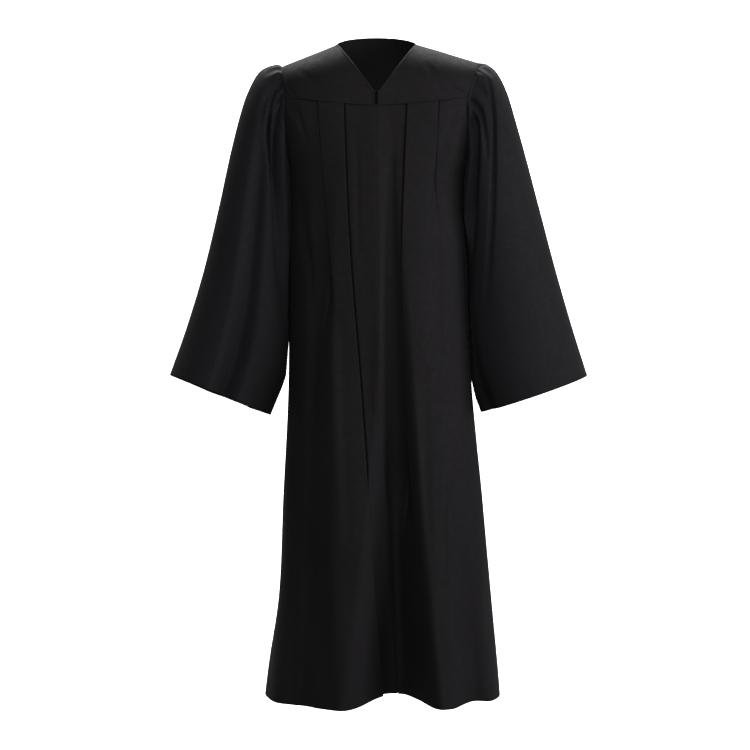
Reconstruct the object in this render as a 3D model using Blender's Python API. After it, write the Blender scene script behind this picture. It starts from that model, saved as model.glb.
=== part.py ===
"""A graduation gown, filled out as if worn: yokes, pleated fronts, fluted back, bell sleeves and a centre zip.

Metres, +Z up. The front faces -Y and +X is the wearer's left. The origin is midway between the two neck points,
where the gown sits on the wearer's shoulders. Every cloth piece is a wall that follows sections worked out below.
"""

from collections import namedtuple
from math import cos, pi, radians, sin

import bmesh
import bpy
import numpy as np

RIGHT, LEFT = -1, 1
FRONT, BACK = -1, 1

CLOTH = 0.0012
YOKE_CLOTH = 0.0020
SEAM = 0.0003
HALF_SEAM = SEAM / 2

NECK_HALF = 0.079
NAPE_HEIGHT = 0.023
NAPE_DEPTH = 0.062
V_HEIGHT = -0.111
YOKE_MIDDLE = {FRONT: -0.1315, BACK: -0.150}
YOKE_END = {FRONT: -0.112, BACK: -0.135}
YOKE_SAG_POWER = 1.5
YOKE_LAP = 0.0008
UNDERARM_HEIGHT = -0.250
HEM_HEIGHT = -1.292
ARMHOLE_DEPTH = {FRONT: 0.062, BACK: 0.066}
CENTRE_GAP = 0.0006
ROUNDNESS = 2.4
HEM_LIFT = 0.06
SIDE_FADE = 2.5

UNDERLAP = 0.018
UNDERLAP_SHARE = 0.36
PLEAT_DROP = 0.0040
PLEAT_TURN = 0.0009
OPENING_DROP = 0.0110
OPENED_STEP = 0.0070
CENTRE_DROP_SHARE = 0.3

# Half widths and depths of the body, seen from above, at each height.
Section = namedtuple("Section", "z right left front back")
TORSO = [
    Section(z=-0.120, right=0.213, left=0.211, front=0.098, back=0.106),
    Section(z=-0.250, right=0.1765, left=0.1785, front=0.124, back=0.128),
    Section(z=-0.450, right=0.1755, left=0.1810, front=0.134, back=0.142),
    Section(z=-0.700, right=0.1770, left=0.1920, front=0.146, back=0.150),
    Section(z=-0.900, right=0.1870, left=0.2120, front=0.165, back=0.164),
    Section(z=-1.100, right=0.1960, left=0.2290, front=0.188, back=0.180),
    Section(z=-1.295, right=0.2210, left=0.2470, front=0.212, back=0.200),
]

# The line where the fronts meet wanders sideways as the skirt swings.
Centre = namedtuple("Centre", "z x")
CENTRE_LINE = [
    Centre(z=-0.12, x=0.0),
    Centre(z=-0.45, x=0.003),
    Centre(z=-0.80, x=0.0145),
    Centre(z=-1.00, x=0.024),
    Centre(z=-1.295, x=0.042),
]

# A fold starts at a height and runs to the hem. Deep is how far it falls in at the hem, tuck at its start.
FOLD_COLUMNS = "start x_start x_hem bow tuck deep grow fade right_start right_hem left_start left_hem"
Fold = namedtuple("Fold", FOLD_COLUMNS)
FRONT_FOLDS = [
    Fold(-0.14, 0.018, 0.042, 0.009, 0.0, 0.135, 2.2, 0.0, 0.022, 0.115, 0.024, 0.088),
    Fold(-0.26, -0.104, -0.128, -0.004, 0.0, 0.060, 1.0, 0.8, 0.030, 0.060, 0.030, 0.060),
    Fold(-0.72, 0.150, 0.187, 0.0, 0.0, 0.035, 1.5, 0.0, 0.030, 0.045, 0.030, 0.045),
]
BACK_FOLDS = [
    Fold(-0.14, -0.126, -0.172, 0.0, 0.0035, 0.020, 1.3, 0.0, 0.018, 0.030, 0.018, 0.034),
    Fold(-0.14, -0.084, -0.112, 0.0, 0.0035, 0.034, 1.3, 0.0, 0.018, 0.032, 0.018, 0.030),
    Fold(-0.14, -0.042, -0.054, 0.003, 0.0035, 0.024, 1.2, 0.0, 0.018, 0.028, 0.018, 0.030),
    Fold(-0.14, 0.000, 0.006, 0.002, 0.0035, 0.036, 1.4, 0.0, 0.018, 0.030, 0.018, 0.030),
    Fold(-0.14, 0.042, 0.066, 0.0, 0.0035, 0.026, 1.2, 0.0, 0.018, 0.030, 0.018, 0.030),
    Fold(-0.14, 0.084, 0.126, -0.003, 0.0035, 0.036, 1.3, 0.0, 0.018, 0.032, 0.018, 0.032),
    Fold(-0.14, 0.126, 0.190, 0.0, 0.0035, 0.020, 1.3, 0.0, 0.018, 0.034, 0.018, 0.030),
]

# Where each edge of the two box pleats runs, between which heights its overlap opens out, and how much deeper
# its step grows by the hem.
PLEAT_HEIGHTS = (-0.12, -0.26, -0.42, -0.70, -1.00, -1.295)
Pleat = namedtuple("Pleat", "side x opens opened deepens")
PLEATS = [
    Pleat(RIGHT, (-0.065, -0.061, -0.053, -0.031, -0.0095, 0.0135), -2.0, -2.5, 0.0080),
    Pleat(RIGHT, (-0.115, -0.105, -0.092, -0.100, -0.117, -0.135), -0.36, -0.62, 0.0),
    Pleat(LEFT, (0.061, 0.055, 0.0495, 0.057, 0.066, 0.082), -0.76, -1.00, 0.0),
    Pleat(LEFT, (0.121, 0.115, 0.111, 0.114, 0.1245, 0.142), -0.20, -0.42, 0.0),
]

# Each sleeve ring runs through an outer and an inner point of the silhouette, with a depth to front and back.
Ring = namedtuple("Ring", "out_x out_z in_x in_z front back")
SLEEVES = {
    RIGHT: [
        Ring(0.1870, -0.0430, 0.1765, -0.250, 0.062, 0.066),
        Ring(0.2010, -0.0395, 0.1700, -0.262, 0.068, 0.072),
        Ring(0.2330, -0.0540, 0.1630, -0.290, 0.075, 0.080),
        Ring(0.2570, -0.0960, 0.1600, -0.330, 0.080, 0.086),
        Ring(0.2730, -0.1440, 0.1600, -0.368, 0.083, 0.090),
        Ring(0.2930, -0.2240, 0.1600, -0.425, 0.087, 0.094),
        Ring(0.3160, -0.3300, 0.1610, -0.495, 0.091, 0.098),
        Ring(0.3450, -0.4500, 0.1650, -0.580, 0.096, 0.103),
        Ring(0.3790, -0.5620, 0.1800, -0.660, 0.101, 0.108),
        Ring(0.4130, -0.6580, 0.2110, -0.738, 0.106, 0.112),
    ],
    LEFT: [
        Ring(0.2030, -0.0360, 0.1785, -0.250, 0.062, 0.066),
        Ring(0.2190, -0.0390, 0.1720, -0.262, 0.068, 0.072),
        Ring(0.2400, -0.0560, 0.1660, -0.290, 0.075, 0.080),
        Ring(0.2600, -0.0950, 0.1630, -0.330, 0.080, 0.086),
        Ring(0.2770, -0.1500, 0.1620, -0.368, 0.083, 0.090),
        Ring(0.3000, -0.2320, 0.1620, -0.425, 0.087, 0.094),
        Ring(0.3260, -0.3300, 0.1630, -0.495, 0.091, 0.098),
        Ring(0.3580, -0.4500, 0.1680, -0.580, 0.096, 0.103),
        Ring(0.3900, -0.5600, 0.1780, -0.655, 0.101, 0.108),
        Ring(0.4210, -0.6580, 0.2060, -0.732, 0.106, 0.112),
    ],
}
CUFF_TILT = {RIGHT: 0.0085, LEFT: 0.0}
SLEEVE_CLEARANCE = 0.0035

# A sleeve fold runs from one turn round the ring and share of the length to another. Turns start at the top
# of the shoulder and go by the front. A fold that lasts is deepest at the cuff.
Crease = namedtuple("Crease", "turn_start turn_end from_share to_share deep half_turn lasts")
SLEEVE_FOLDS = {
    RIGHT: [
        Crease(24, 32, 0.00, 0.22, 0.006, 14, False),
        Crease(54, 58, 0.00, 0.32, 0.009, 14, False),
        Crease(80, 142, 0.05, 0.70, 0.024, 20, False),
        Crease(88, 118, 0.34, 1.00, 0.026, 20, True),
        Crease(332, 325, 0.00, 0.24, 0.006, 14, False),
        Crease(295, 300, 0.00, 0.34, 0.009, 14, False),
        Crease(262, 225, 0.10, 1.00, 0.022, 22, True),
        Crease(300, 290, 0.40, 1.00, 0.016, 22, True),
    ],
    LEFT: [
        Crease(24, 32, 0.00, 0.22, 0.006, 14, False),
        Crease(56, 62, 0.00, 0.28, 0.009, 14, False),
        Crease(86, 146, 0.05, 0.66, 0.028, 24, False),
        Crease(118, 112, 0.50, 1.00, 0.012, 22, True),
        Crease(332, 325, 0.00, 0.24, 0.006, 14, False),
        Crease(295, 300, 0.00, 0.34, 0.009, 14, False),
        Crease(262, 228, 0.10, 1.00, 0.022, 22, True),
        Crease(305, 292, 0.40, 1.00, 0.016, 22, True),
    ],
}

ZIP_END_HEIGHT = -0.740
CHAIN_HALF = 0.0022
TAPE_WIDTH = 0.0140
TAPE_THICK = 0.0010
CHAIN_THICK = 0.0016
TAPE_START = 0.0029
SLIDER_TOP = -0.1040
SLIDER_BOTTOM = -0.1156
SLIDER_HALF = 0.0042
SLIDER_THICK = 0.0026
POST_HALF = 0.0009
POST_HEIGHT = -0.1062
PIN_RADIUS = 0.0006
PIN_HALF = 0.0027
PULL_HALF = 0.0027
PULL_THICK = 0.0012
PULL_LENGTH = 0.0240
PULL_CLEARANCE = 0.0008
EAR_HOLE_RADIUS = 0.00085
EAR_INNER = 0.0012
EAR_RADIUS = 0.0016
SLOT_DEPTH = 0.00256

# How finely each surface is divided, and where its changes of form fade in and out.
SIDE_NAMES = {RIGHT: "right", LEFT: "left"}
UNDERARM_DROP = {facing: YOKE_END[facing] - UNDERARM_HEIGHT for facing in (FRONT, BACK)}
HEM_DROP = {facing: YOKE_END[facing] - HEM_HEIGHT for facing in (FRONT, BACK)}
FRONT_DROPS = (SEAM, 0.012, 0.030, 0.060, 0.095, 0.122, UNDERARM_DROP[FRONT], 0.163, 0.188, 0.213, 0.24, 0.285)
BACK_DROPS = (SEAM, 0.012, 0.030, 0.060, 0.088, 0.104, UNDERARM_DROP[BACK], 0.165, 0.230, 0.300)
PANEL_DROPS = {
    FRONT: FRONT_DROPS + tuple(np.linspace(0.331, HEM_DROP[FRONT], 17)),
    BACK: BACK_DROPS + tuple(np.linspace(0.390, HEM_DROP[BACK], 9)),
}
SHUT_DEPTHS = (0, 0.22, 0.42, 0.58, 0.80, 1.0, 1.0)
LOOSE_DEPTHS = (0, 0.06, 0.20, 0.80, 0.94, 1.0, 1.0)
LOOSENING = (0.0, 0.3)
CENTRE_COLUMNS, BOX_COLUMNS, SIDE_COLUMNS = 6, 4, 8
CENTRE_RISE = (-0.004, 0.030)
SIDE_MARGIN = 0.010
YOKE_LAP_FADE = (0.002, 0.030)
BACK_COLUMNS = 23
YOKE_COLUMNS = 9
YOKE_ROW_SHARES = (0.18, 0.36, 0.54, 0.72, 0.87, 1.0)
SHOULDER_COLUMNS, NECK_COLUMNS = 6, 13
NAPE_BULGE_FADE = (0.0, 0.6)
YOKE_FIRST_ARC = 0.2
BACK_YOKE_ROWS = 7
SLEEVE_SHARES = (0.0, 0.03, 0.07, 0.12, 0.18, 0.25, 0.33, 0.42, 0.52, 0.63, 0.74, 0.87, 1.0)
SLEEVE_COLUMNS = 36
SETTLED_SHARE = 0.22
SEAM_SHARE = 0.03
ARMHOLE_MARGIN = 0.006
LASTING_GROWTH = 1.2
PASSING_PEAK = 0.7
ZIP_SECOND_ROW = -0.16
ZIP_ROWS = 14
ZIP_SAMPLES = 500
TAPE_COLUMNS = 4

BLACK_CLOTH = (0.011, 0.011, 0.012, 1.0)
BLACK_ENAMEL = (0.012, 0.012, 0.013, 1.0)


def smooth(stations, values, at):
    """A smooth curve through the values at the stations, read at the given places."""
    stations = np.asarray(stations, float)
    values = np.asarray(values, float)
    order = np.argsort(stations)
    stations, values = stations[order], values[order]
    slopes = np.gradient(values, stations)
    at = np.clip(at, stations[0], stations[-1])
    i = np.clip(np.searchsorted(stations, at) - 1, 0, len(stations) - 2)
    step = stations[i + 1] - stations[i]
    t = (at - stations[i]) / step
    rise = values[i + 1] - values[i]
    bend = step * (slopes[i] * (t - 2 * t**2 + t**3) + slopes[i + 1] * (t**3 - t**2))
    return values[i] + rise * (3 * t**2 - 2 * t**3) + bend


def column(table, name):
    return [getattr(row, name) for row in table]


def ease(low, high, at):
    """0 below low, 1 above high, smooth between."""
    t = np.clip((at - low) / (high - low), 0, 1)
    return t * t * (3 - 2 * t)


def centre_x(z):
    return smooth(column(CENTRE_LINE, "z"), column(CENTRE_LINE, "x"), z)


def torso_size(name, z):
    return smooth(column(TORSO, "z"), column(TORSO, name), z)


def half_width(x, z):
    return np.where(np.asarray(x) < 0, torso_size("right", z), torso_size("left", z))


def depth_of(facing, z):
    return torso_size("front" if facing == FRONT else "back", z)


def rounded(share):
    """How much of its full depth a rounded section keeps at a share of its half width, and the reverse."""
    return np.clip(1 - np.clip(np.abs(share), 0, 1) ** ROUNDNESS, 0, 1) ** (1 / ROUNDNESS)


def fold_depth(folds, x, z):
    """How far the folds pull the cloth in at a place: each is a cosine hollow that widens towards the hem."""
    total = np.zeros(np.broadcast(x, z).shape)
    for fold in folds:
        fall = np.clip((fold.start - z) / (fold.start - HEM_HEIGHT), 0, 1)
        middle = fold.x_start + (fold.x_hem - fold.x_start) * fall + 4 * fold.bow * fall * (1 - fall)
        right = fold.right_start + (fold.right_hem - fold.right_start) * fall**2
        left = fold.left_start + (fold.left_hem - fold.left_start) * fall**2
        reach = np.where(x < middle, right, left)
        hollow = 0.5 + 0.5 * np.cos(pi * np.clip(np.abs(x - middle) / reach, 0, 1))
        total += hollow * (fold.tuck * (1 - fall) + fold.deep * fall**fold.grow * (1 - fold.fade * fall))
    return total


def torso_points(turn, z, facing):
    """Points of the body. Turn goes from -1 at the right side seam to 1 at the left; facing is -1 in front."""
    angle = turn * pi / 2
    wide = half_width(turn, z)
    deep = depth_of(facing, z)
    x = np.sign(turn) * wide * np.abs(np.sin(angle)) ** (2 / ROUNDNESS)
    y = facing * deep * np.abs(np.cos(angle)) ** (2 / ROUNDNESS)
    inward = fold_depth(FRONT_FOLDS if facing == FRONT else BACK_FOLDS, x, z)
    inward = inward * np.clip(np.abs(np.cos(angle)) * SIDE_FADE, 0, 1)
    return np.stack([x, y - facing * inward, z + HEM_LIFT * inward], axis=-1)


def turn_at_x(x, z):
    share = np.clip(np.abs(x) / half_width(x, z), 0, 1)
    return np.sign(x) * np.arcsin(share ** (ROUNDNESS / 2)) / (pi / 2)


def turn_at_depth(side, depth, z, facing):
    share = np.clip(depth / depth_of(facing, z), 0, 1)
    return side * np.arccos(share ** (ROUNDNESS / 2)) / (pi / 2)


def armhole_depth(z, facing):
    """How far the armhole's edge lies in front of or behind the side, at a height below the yoke."""
    top = YOKE_END[facing]
    share = np.clip((top - z) / (top - UNDERARM_HEIGHT), 0, 1)
    return ARMHOLE_DEPTH[facing] * np.sqrt(1 - share**2)


def yoke_corner(side, facing):
    """Where the yoke's seam meets the armhole."""
    z = YOKE_END[facing]
    x = side * half_width(side, z) * rounded(ARMHOLE_DEPTH[facing] / depth_of(facing, z))
    return np.array([x, facing * ARMHOLE_DEPTH[facing], z])


def shoulder_tip(side):
    ring = SLEEVES[side][0]
    return np.array([side * ring.out_x, 0.0, ring.out_z])


def armhole_points(side, facing, z):
    """The armhole's edge at given heights, from the shoulder tip over the yoke's corner to the underarm."""
    tip, corner = shoulder_tip(side), yoke_corner(side, facing)
    share = np.clip((z - tip[2]) / (corner[2] - tip[2]), 0, 1)
    yoke_x = tip[0] + (corner[0] - tip[0]) * share
    yoke_y = corner[1] * np.sqrt(1 - (1 - share) ** 2)
    depth = armhole_depth(z, facing)
    body_x = side * half_width(side, z) * rounded(depth / depth_of(facing, z))
    on_yoke = z > corner[2]
    return np.stack([np.where(on_yoke, yoke_x, body_x), np.where(on_yoke, yoke_y, facing * depth), z], axis=-1)


def unit(vectors):
    return vectors / np.maximum(np.linalg.norm(vectors, axis=-1, keepdims=True), 1e-12)


def normals_of(points, out):
    """Unit normals of a grid of points, turned to agree on the whole with a rough outward direction."""
    normal = unit(np.cross(np.gradient(points, axis=1), np.gradient(points, axis=0)))
    return normal * np.sign((normal * out).sum())


def keep_level(normal, where, axis):
    """Makes the normals of an edge square to an axis, so that the wall's edge lies flat at its neighbour."""
    normal[where + (..., axis)] = 0
    normal[where] = unit(normal[where])


def halves_of(quad, points):
    """A quad's two triangles, cut on its shorter diagonal, so that layers which lie close never cross."""
    a, b, c, d = quad
    if np.linalg.norm(points[a] - points[c]) < np.linalg.norm(points[b] - points[d]):
        return [a, b, c], [a, c, d]
    return [a, b, d], [b, c, d]


def wall(name, outer, normal, thick, material, around=False):
    """A closed wall behind a grid of outer points; rows run down it, and around joins its two sides."""
    rows, cols = outer.shape[:2]
    points = np.concatenate([outer.reshape(-1, 3), (outer - normal * thick).reshape(-1, 3)])
    inner = rows * cols

    def index(row, col):
        return row * cols + col % cols

    faces = []
    last = cols if around else cols - 1
    for row in range(rows - 1):
        for col in range(last):
            quad = [index(row, col), index(row + 1, col), index(row + 1, col + 1), index(row, col + 1)]
            for half in halves_of(quad, points):
                faces.append(half)
                faces.append([inner + i for i in reversed(half)])
    for col in range(last):
        top = [index(0, col + 1), index(0, col)]
        low = [index(rows - 1, col), index(rows - 1, col + 1)]
        faces.append([top[1], top[0], inner + top[0], inner + top[1]])
        faces.append([low[1], low[0], inner + low[0], inner + low[1]])
    if not around:
        for row in range(rows - 1):
            near = [index(row, 0), index(row + 1, 0)]
            far = [index(row + 1, cols - 1), index(row, cols - 1)]
            faces.append([near[1], near[0], inner + near[0], inner + near[1]])
            faces.append([far[1], far[0], inner + far[0], inner + far[1]])
    return add_mesh(name, points, faces, material)


def add_mesh(name, points, faces, material):
    mesh = bpy.data.meshes.new(name)
    mesh.from_pydata([tuple(p) for p in points], [], faces)
    work = bmesh.new()
    work.from_mesh(mesh)
    bmesh.ops.recalc_face_normals(work, faces=work.faces)
    work.to_mesh(mesh)
    work.free()
    mesh.shade_smooth()
    mesh.set_sharp_from_angle(angle=radians(50))
    mesh.materials.append(material)
    piece = bpy.data.objects.new(name, mesh)
    bpy.context.scene.collection.objects.link(piece)
    return piece


def make_material(name, colour, roughness, metallic):
    material = bpy.data.materials.new(name)
    material.use_nodes = True
    shader = material.node_tree.nodes["Principled BSDF"]
    shader.inputs["Base Color"].default_value = colour
    shader.inputs["Roughness"].default_value = roughness
    shader.inputs["Metallic"].default_value = metallic
    return material


def inward_layer(curve, out, where, depth):
    """Points at distances along a curve, sunk below it: curve and out are its points and outward directions."""
    run = np.concatenate([[0], np.cumsum(np.linalg.norm(np.diff(curve, axis=0), axis=1))])
    place = np.stack([np.interp(where, run, curve[:, k]) for k in range(3)], axis=-1)
    away = np.stack([np.interp(where, run, out[:, k]) for k in range(3)], axis=-1)
    away /= np.linalg.norm(away, axis=1, keepdims=True)
    return place - away * np.asarray(depth)[:, None]


def run_length(curve):
    return float(np.linalg.norm(np.diff(curve, axis=0), axis=1).sum())


def place_of_x(curve, x, side):
    """How far along a section its curve reaches a given x, on its way out to the side."""
    run = np.concatenate([[0], np.cumsum(np.linalg.norm(np.diff(curve, axis=0), axis=1))])
    return float(np.interp(side * x, side * curve[:, 0], run))


def section_outward(curve, facing):
    """Level directions square to a section's curve, pointing away from the wearer."""
    along = np.gradient(curve, axis=0)
    out = np.stack([-along[:, 1], along[:, 0], np.zeros(len(curve))], axis=-1)
    out /= np.maximum(np.linalg.norm(out, axis=1, keepdims=True), 1e-12)
    middle = len(curve) // 3
    return out * np.sign(out[middle, 1] * facing)


def body_row(side, facing, start_turn, drop, samples=260):
    """One row of a body panel, from the middle to its side edge. Drop is the distance below the yoke's seam."""
    top, middle_top = YOKE_END[facing], YOKE_MIDDLE[facing]
    share = np.linspace(0, 1, samples)
    seam = middle_top + (top - middle_top) * share**YOKE_SAG_POWER
    z = seam - drop * (seam - HEM_HEIGHT) / (top - HEM_HEIGHT)
    side_z = z[-1]
    if side_z > UNDERARM_HEIGHT:
        end = turn_at_depth(side, armhole_depth(min(side_z, top), facing), side_z, facing)
    else:
        end = side
    turn = start_turn + (end - start_turn) * share
    return torso_points(turn, z, facing)


def opened_share(pleat, z):
    """0 where a pleat's edge is pressed shut, 1 where its cloth has opened out flat."""
    return 1 - float(ease(pleat.opened, pleat.opens, z))


def overlap_columns(place, toward, lap, drop, opened):
    """Distances and depths of the seven points that carry the cloth under a pleat's edge and out again.

    Toward is 1 where the edge faces along the row and -1 where it faces back. Opened is 0 when shut."""
    shut = np.array([0, PLEAT_TURN, 0, -lap, -lap - PLEAT_TURN, -lap, 0])
    open_out = OPENED_STEP * np.arange(-3, 4)
    loose = ease(*LOOSENING, opened)
    depth = np.array(SHUT_DEPTHS) * (1 - loose) + np.array(LOOSE_DEPTHS) * loose
    return place + toward * (shut * (1 - opened) + open_out * opened), depth * drop


def pleat_drop(pleat, z):
    """The depth of a pleat's step: deeper while its overlap opens, none once flat, and more by the hem."""
    opened = opened_share(pleat, z)
    fall = (YOKE_MIDDLE[FRONT] - z) / (YOKE_MIDDLE[FRONT] - HEM_HEIGHT)
    return PLEAT_DROP * (1 - opened) + 4 * opened * (1 - opened) * OPENING_DROP + pleat.deepens * fall**3


def front_layout(side, curve, z):
    """Distances and depths of the columns of a front at one row, from the centre to the side."""
    near, far = [pleat for pleat in PLEATS if pleat.side == side]
    total = run_length(curve)
    near_edge, far_edge = [place_of_x(curve, smooth(PLEAT_HEIGHTS, pleat.x, z), side) for pleat in (near, far)]
    lap = min(UNDERLAP, UNDERLAP_SHARE * (far_edge - near_edge))
    near_drop, far_drop = pleat_drop(near, z), pleat_drop(far, z)
    where_near, deep_near = overlap_columns(near_edge, -1, lap, near_drop, opened_share(near, z))
    where_far, deep_far = overlap_columns(far_edge, 1, lap, far_drop, opened_share(far, z))
    inner = np.linspace(CENTRE_GAP, where_near[-1], CENTRE_COLUMNS + 1)[:-1]
    rise = ease(*CENTRE_RISE, inner)
    inner_deep = near_drop * (CENTRE_DROP_SHARE + (1 - CENTRE_DROP_SHARE) * rise)
    top = np.linspace(where_near[0], where_far[0], BOX_COLUMNS + 2)[1:-1]
    outer = np.linspace(where_far[-1], total - HALF_SEAM, SIDE_COLUMNS + 1)[1:]
    outer_deep = far_drop * (1 - ease(where_far[-1], total - SIDE_MARGIN, outer))
    where = np.concatenate([inner, where_near[::-1], top, where_far, outer])
    depth = np.concatenate([inner_deep, deep_near[::-1], np.zeros(len(top)), deep_far, outer_deep])
    return where, depth


def under_yoke(drop):
    """How far a panel lies in behind the yoke's edge, which is sewn over it."""
    return YOKE_LAP * (1 - float(ease(*YOKE_LAP_FADE, drop)))


def below_underarm(facing):
    """The rows of a panel from the underarm down, as a slice."""
    drops, top = PANEL_DROPS[facing], YOKE_END[facing]
    return slice(next(i for i, drop in enumerate(drops) if top - drop <= UNDERARM_HEIGHT + SEAM), None)


def make_front(side, material):
    """A pleated front, from the centre to the side seam."""
    rows = []
    for drop in PANEL_DROPS[FRONT]:
        z = YOKE_MIDDLE[FRONT] - drop
        start = float(turn_at_x(centre_x(z), z))
        curve = body_row(side, FRONT, start, drop)
        where, depth = front_layout(side, curve, z)
        sunk = depth + under_yoke(drop) + CLOTH / 2
        rows.append(inward_layer(curve, section_outward(curve, FRONT), where, sunk))
    middle = np.array(rows)
    normal = normals_of(middle, np.array([0, -1, 0]))
    keep_level(normal, (0,), 2)
    keep_level(normal, (below_underarm(FRONT), -1), 1)
    outer = middle + normal * CLOTH / 2
    return wall("front_" + SIDE_NAMES[side], outer, normal, CLOTH, material)


def make_back(material):
    """The fluted back, from one side seam to the other."""
    rows = []
    for drop in PANEL_DROPS[BACK]:
        halves = []
        for side in (RIGHT, LEFT):
            curve = body_row(side, BACK, 0.0, drop)
            where = np.linspace(0, run_length(curve) - HALF_SEAM, BACK_COLUMNS)
            sunk = np.full(BACK_COLUMNS, under_yoke(drop))
            halves.append(inward_layer(curve, section_outward(curve, BACK), where, sunk))
        rows.append(np.concatenate([halves[0][:0:-1], halves[1]]))
    outer = np.array(rows)
    normal = normals_of(outer, np.array([0, 1, 0]))
    keep_level(normal, (0,), 2)
    for edge in (0, -1):
        keep_level(normal, (below_underarm(BACK), edge), 1)
    return wall("back", outer, normal, CLOTH, material)


def neck_edge_x(z):
    """The front neckline: straight down to the point of the V, then the centre."""
    return np.maximum(NECK_HALF * (1 - z / V_HEIGHT), CENTRE_GAP)


def make_front_yoke(side, material):
    """A front yoke, arched from the shoulder seam down to the seam over the pleats."""
    tip, corner = shoulder_tip(side), yoke_corner(side, FRONT)
    v_angle = np.arccos(1 - V_HEIGHT / YOKE_MIDDLE[FRONT])
    across = np.linspace(0, 1, YOKE_COLUMNS)
    rows = []
    for angle in (HALF_SEAM / ARMHOLE_DEPTH[FRONT], *(v_angle * share for share in YOKE_ROW_SHARES), pi / 2):
        fall = 1 - cos(angle)
        inner_x = neck_edge_x(YOKE_MIDDLE[FRONT] * fall)
        outer_x = abs(tip[0] + (corner[0] - tip[0]) * fall)
        x = inner_x + (outer_x - SEAM - inner_x) * across
        foot_x = side * (CENTRE_GAP + (abs(corner[0]) - CENTRE_GAP) * across)
        foot_z = YOKE_MIDDLE[FRONT] + (corner[2] - YOKE_MIDDLE[FRONT]) * across**YOKE_SAG_POWER
        foot_y = depth_of(FRONT, foot_z) * rounded(foot_x / half_width(side, foot_z))
        z = tip[2] * across * (1 - fall) + foot_z * fall
        rows.append(np.stack([side * x, -foot_y * sin(angle), z], axis=-1))
    outer = np.array(rows)
    outer[0, :, 1] = -HALF_SEAM
    normal = normals_of(outer, np.array([0, -0.5, 1]))
    keep_level(normal, (0,), 1)
    keep_level(normal, (-1,), 2)
    return wall("front_yoke_" + SIDE_NAMES[side], outer, normal, YOKE_CLOTH, material)


def back_neckline():
    """The back yoke's top edge from right to left: x, y and z, and how fully each point's arc bulges backwards.

    It runs up the right shoulder, round half an ellipse behind the neck, and down the left shoulder."""
    right, left = shoulder_tip(RIGHT), shoulder_tip(LEFT)
    shoulder = np.linspace(1, 0, SHOULDER_COLUMNS)[:-1]
    turn = np.linspace(0, pi, NECK_COLUMNS)
    flat = np.zeros(len(shoulder))
    right_x = (right[0] + SEAM + NECK_HALF) * shoulder - NECK_HALF
    left_x = (left[0] - SEAM - NECK_HALF) * shoulder[::-1] + NECK_HALF
    x = np.concatenate([right_x, -NECK_HALF * np.cos(turn), left_x])
    y = np.concatenate([flat, NAPE_DEPTH * np.sin(turn), flat])
    z = np.concatenate([right[2] * shoulder, NAPE_HEIGHT * np.sin(turn), left[2] * shoulder[::-1]])
    bulge = np.concatenate([flat + 1, 1 - ease(*NAPE_BULGE_FADE, np.sin(turn)), flat + 1])
    return x, y, z, bulge


def make_back_yoke(material):
    """The back yoke in one piece, from armhole to armhole, with the neck's curve in its top edge."""
    x, y, z, bulge = back_neckline()
    reach = np.where(x < 0, -shoulder_tip(RIGHT)[0], shoulder_tip(LEFT)[0]) - SEAM
    end = np.where(x < 0, -yoke_corner(RIGHT, BACK)[0], yoke_corner(LEFT, BACK)[0]) - SEAM
    share = np.abs(x) / reach
    foot_x = np.sign(x) * end * share
    foot_z = YOKE_MIDDLE[BACK] + (YOKE_END[BACK] - YOKE_MIDDLE[BACK]) * share**YOKE_SAG_POWER
    foot_y = depth_of(BACK, foot_z) * rounded(foot_x / half_width(x, foot_z))
    rows = []
    for angle in (HALF_SEAM / ARMHOLE_DEPTH[BACK], *np.linspace(YOKE_FIRST_ARC, pi / 2, BACK_YOKE_ROWS)):
        fall = 1 - cos(angle)
        out = bulge * sin(angle) + (1 - bulge) * fall * (2 - fall)
        row = (x + (foot_x - x) * fall, y + (foot_y - y) * out, z + (foot_z - z) * fall)
        rows.append(np.stack(row, axis=-1))
    outer = np.array(rows)
    on_shoulder = y < SEAM
    outer[0, on_shoulder, 1] = HALF_SEAM
    normal = normals_of(outer, np.array([0, 0.5, 1]))
    keep_level(normal, (0, on_shoulder), 1)
    keep_level(normal, (-1,), 2)
    return wall("back_yoke", outer, normal, YOKE_CLOTH, material)


def crease_depth(folds, turn, share):
    """How far the sleeve's folds pull its cloth in. Turn is degrees round the ring, share is down its length."""
    total = np.zeros(np.broadcast(turn, share).shape)
    for fold in folds:
        run = np.clip((share - fold.from_share) / (fold.to_share - fold.from_share), 0, 1)
        middle = fold.turn_start + (fold.turn_end - fold.turn_start) * run
        away = np.abs((turn - middle + 180) % 360 - 180) / fold.half_turn
        hollow = 0.5 + 0.5 * np.cos(pi * np.clip(away, 0, 1))
        inside = (share >= fold.from_share) & (share <= fold.to_share)
        if fold.lasts:
            strength = run**LASTING_GROWTH
        elif fold.from_share == 0:
            strength = np.cos(pi / 2 * run)
        else:
            strength = np.sin(pi * run**PASSING_PEAK)
        total += hollow * np.where(inside, strength, 0) * fold.deep
    return total


def clear_of_body(points, side, clearance):
    """Pushes sleeve points sideways until they lie clear of the body's side, where its panels are."""
    y, z = points[..., 1], points[..., 2]
    deep = np.where(y < 0, depth_of(FRONT, z), depth_of(BACK, z))
    body = half_width(side, z) * rounded(y / deep) + clearance
    hole = np.where(y < 0, armhole_depth(z, FRONT), armhole_depth(z, BACK))
    beside = (z < YOKE_END[BACK]) & (np.abs(y) < deep) & (np.abs(y) > hole - ARMHOLE_MARGIN)
    pushed = np.where(beside, np.maximum(side * points[..., 0], body), side * points[..., 0])
    return np.stack([side * pushed, y, z], axis=-1)


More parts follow.
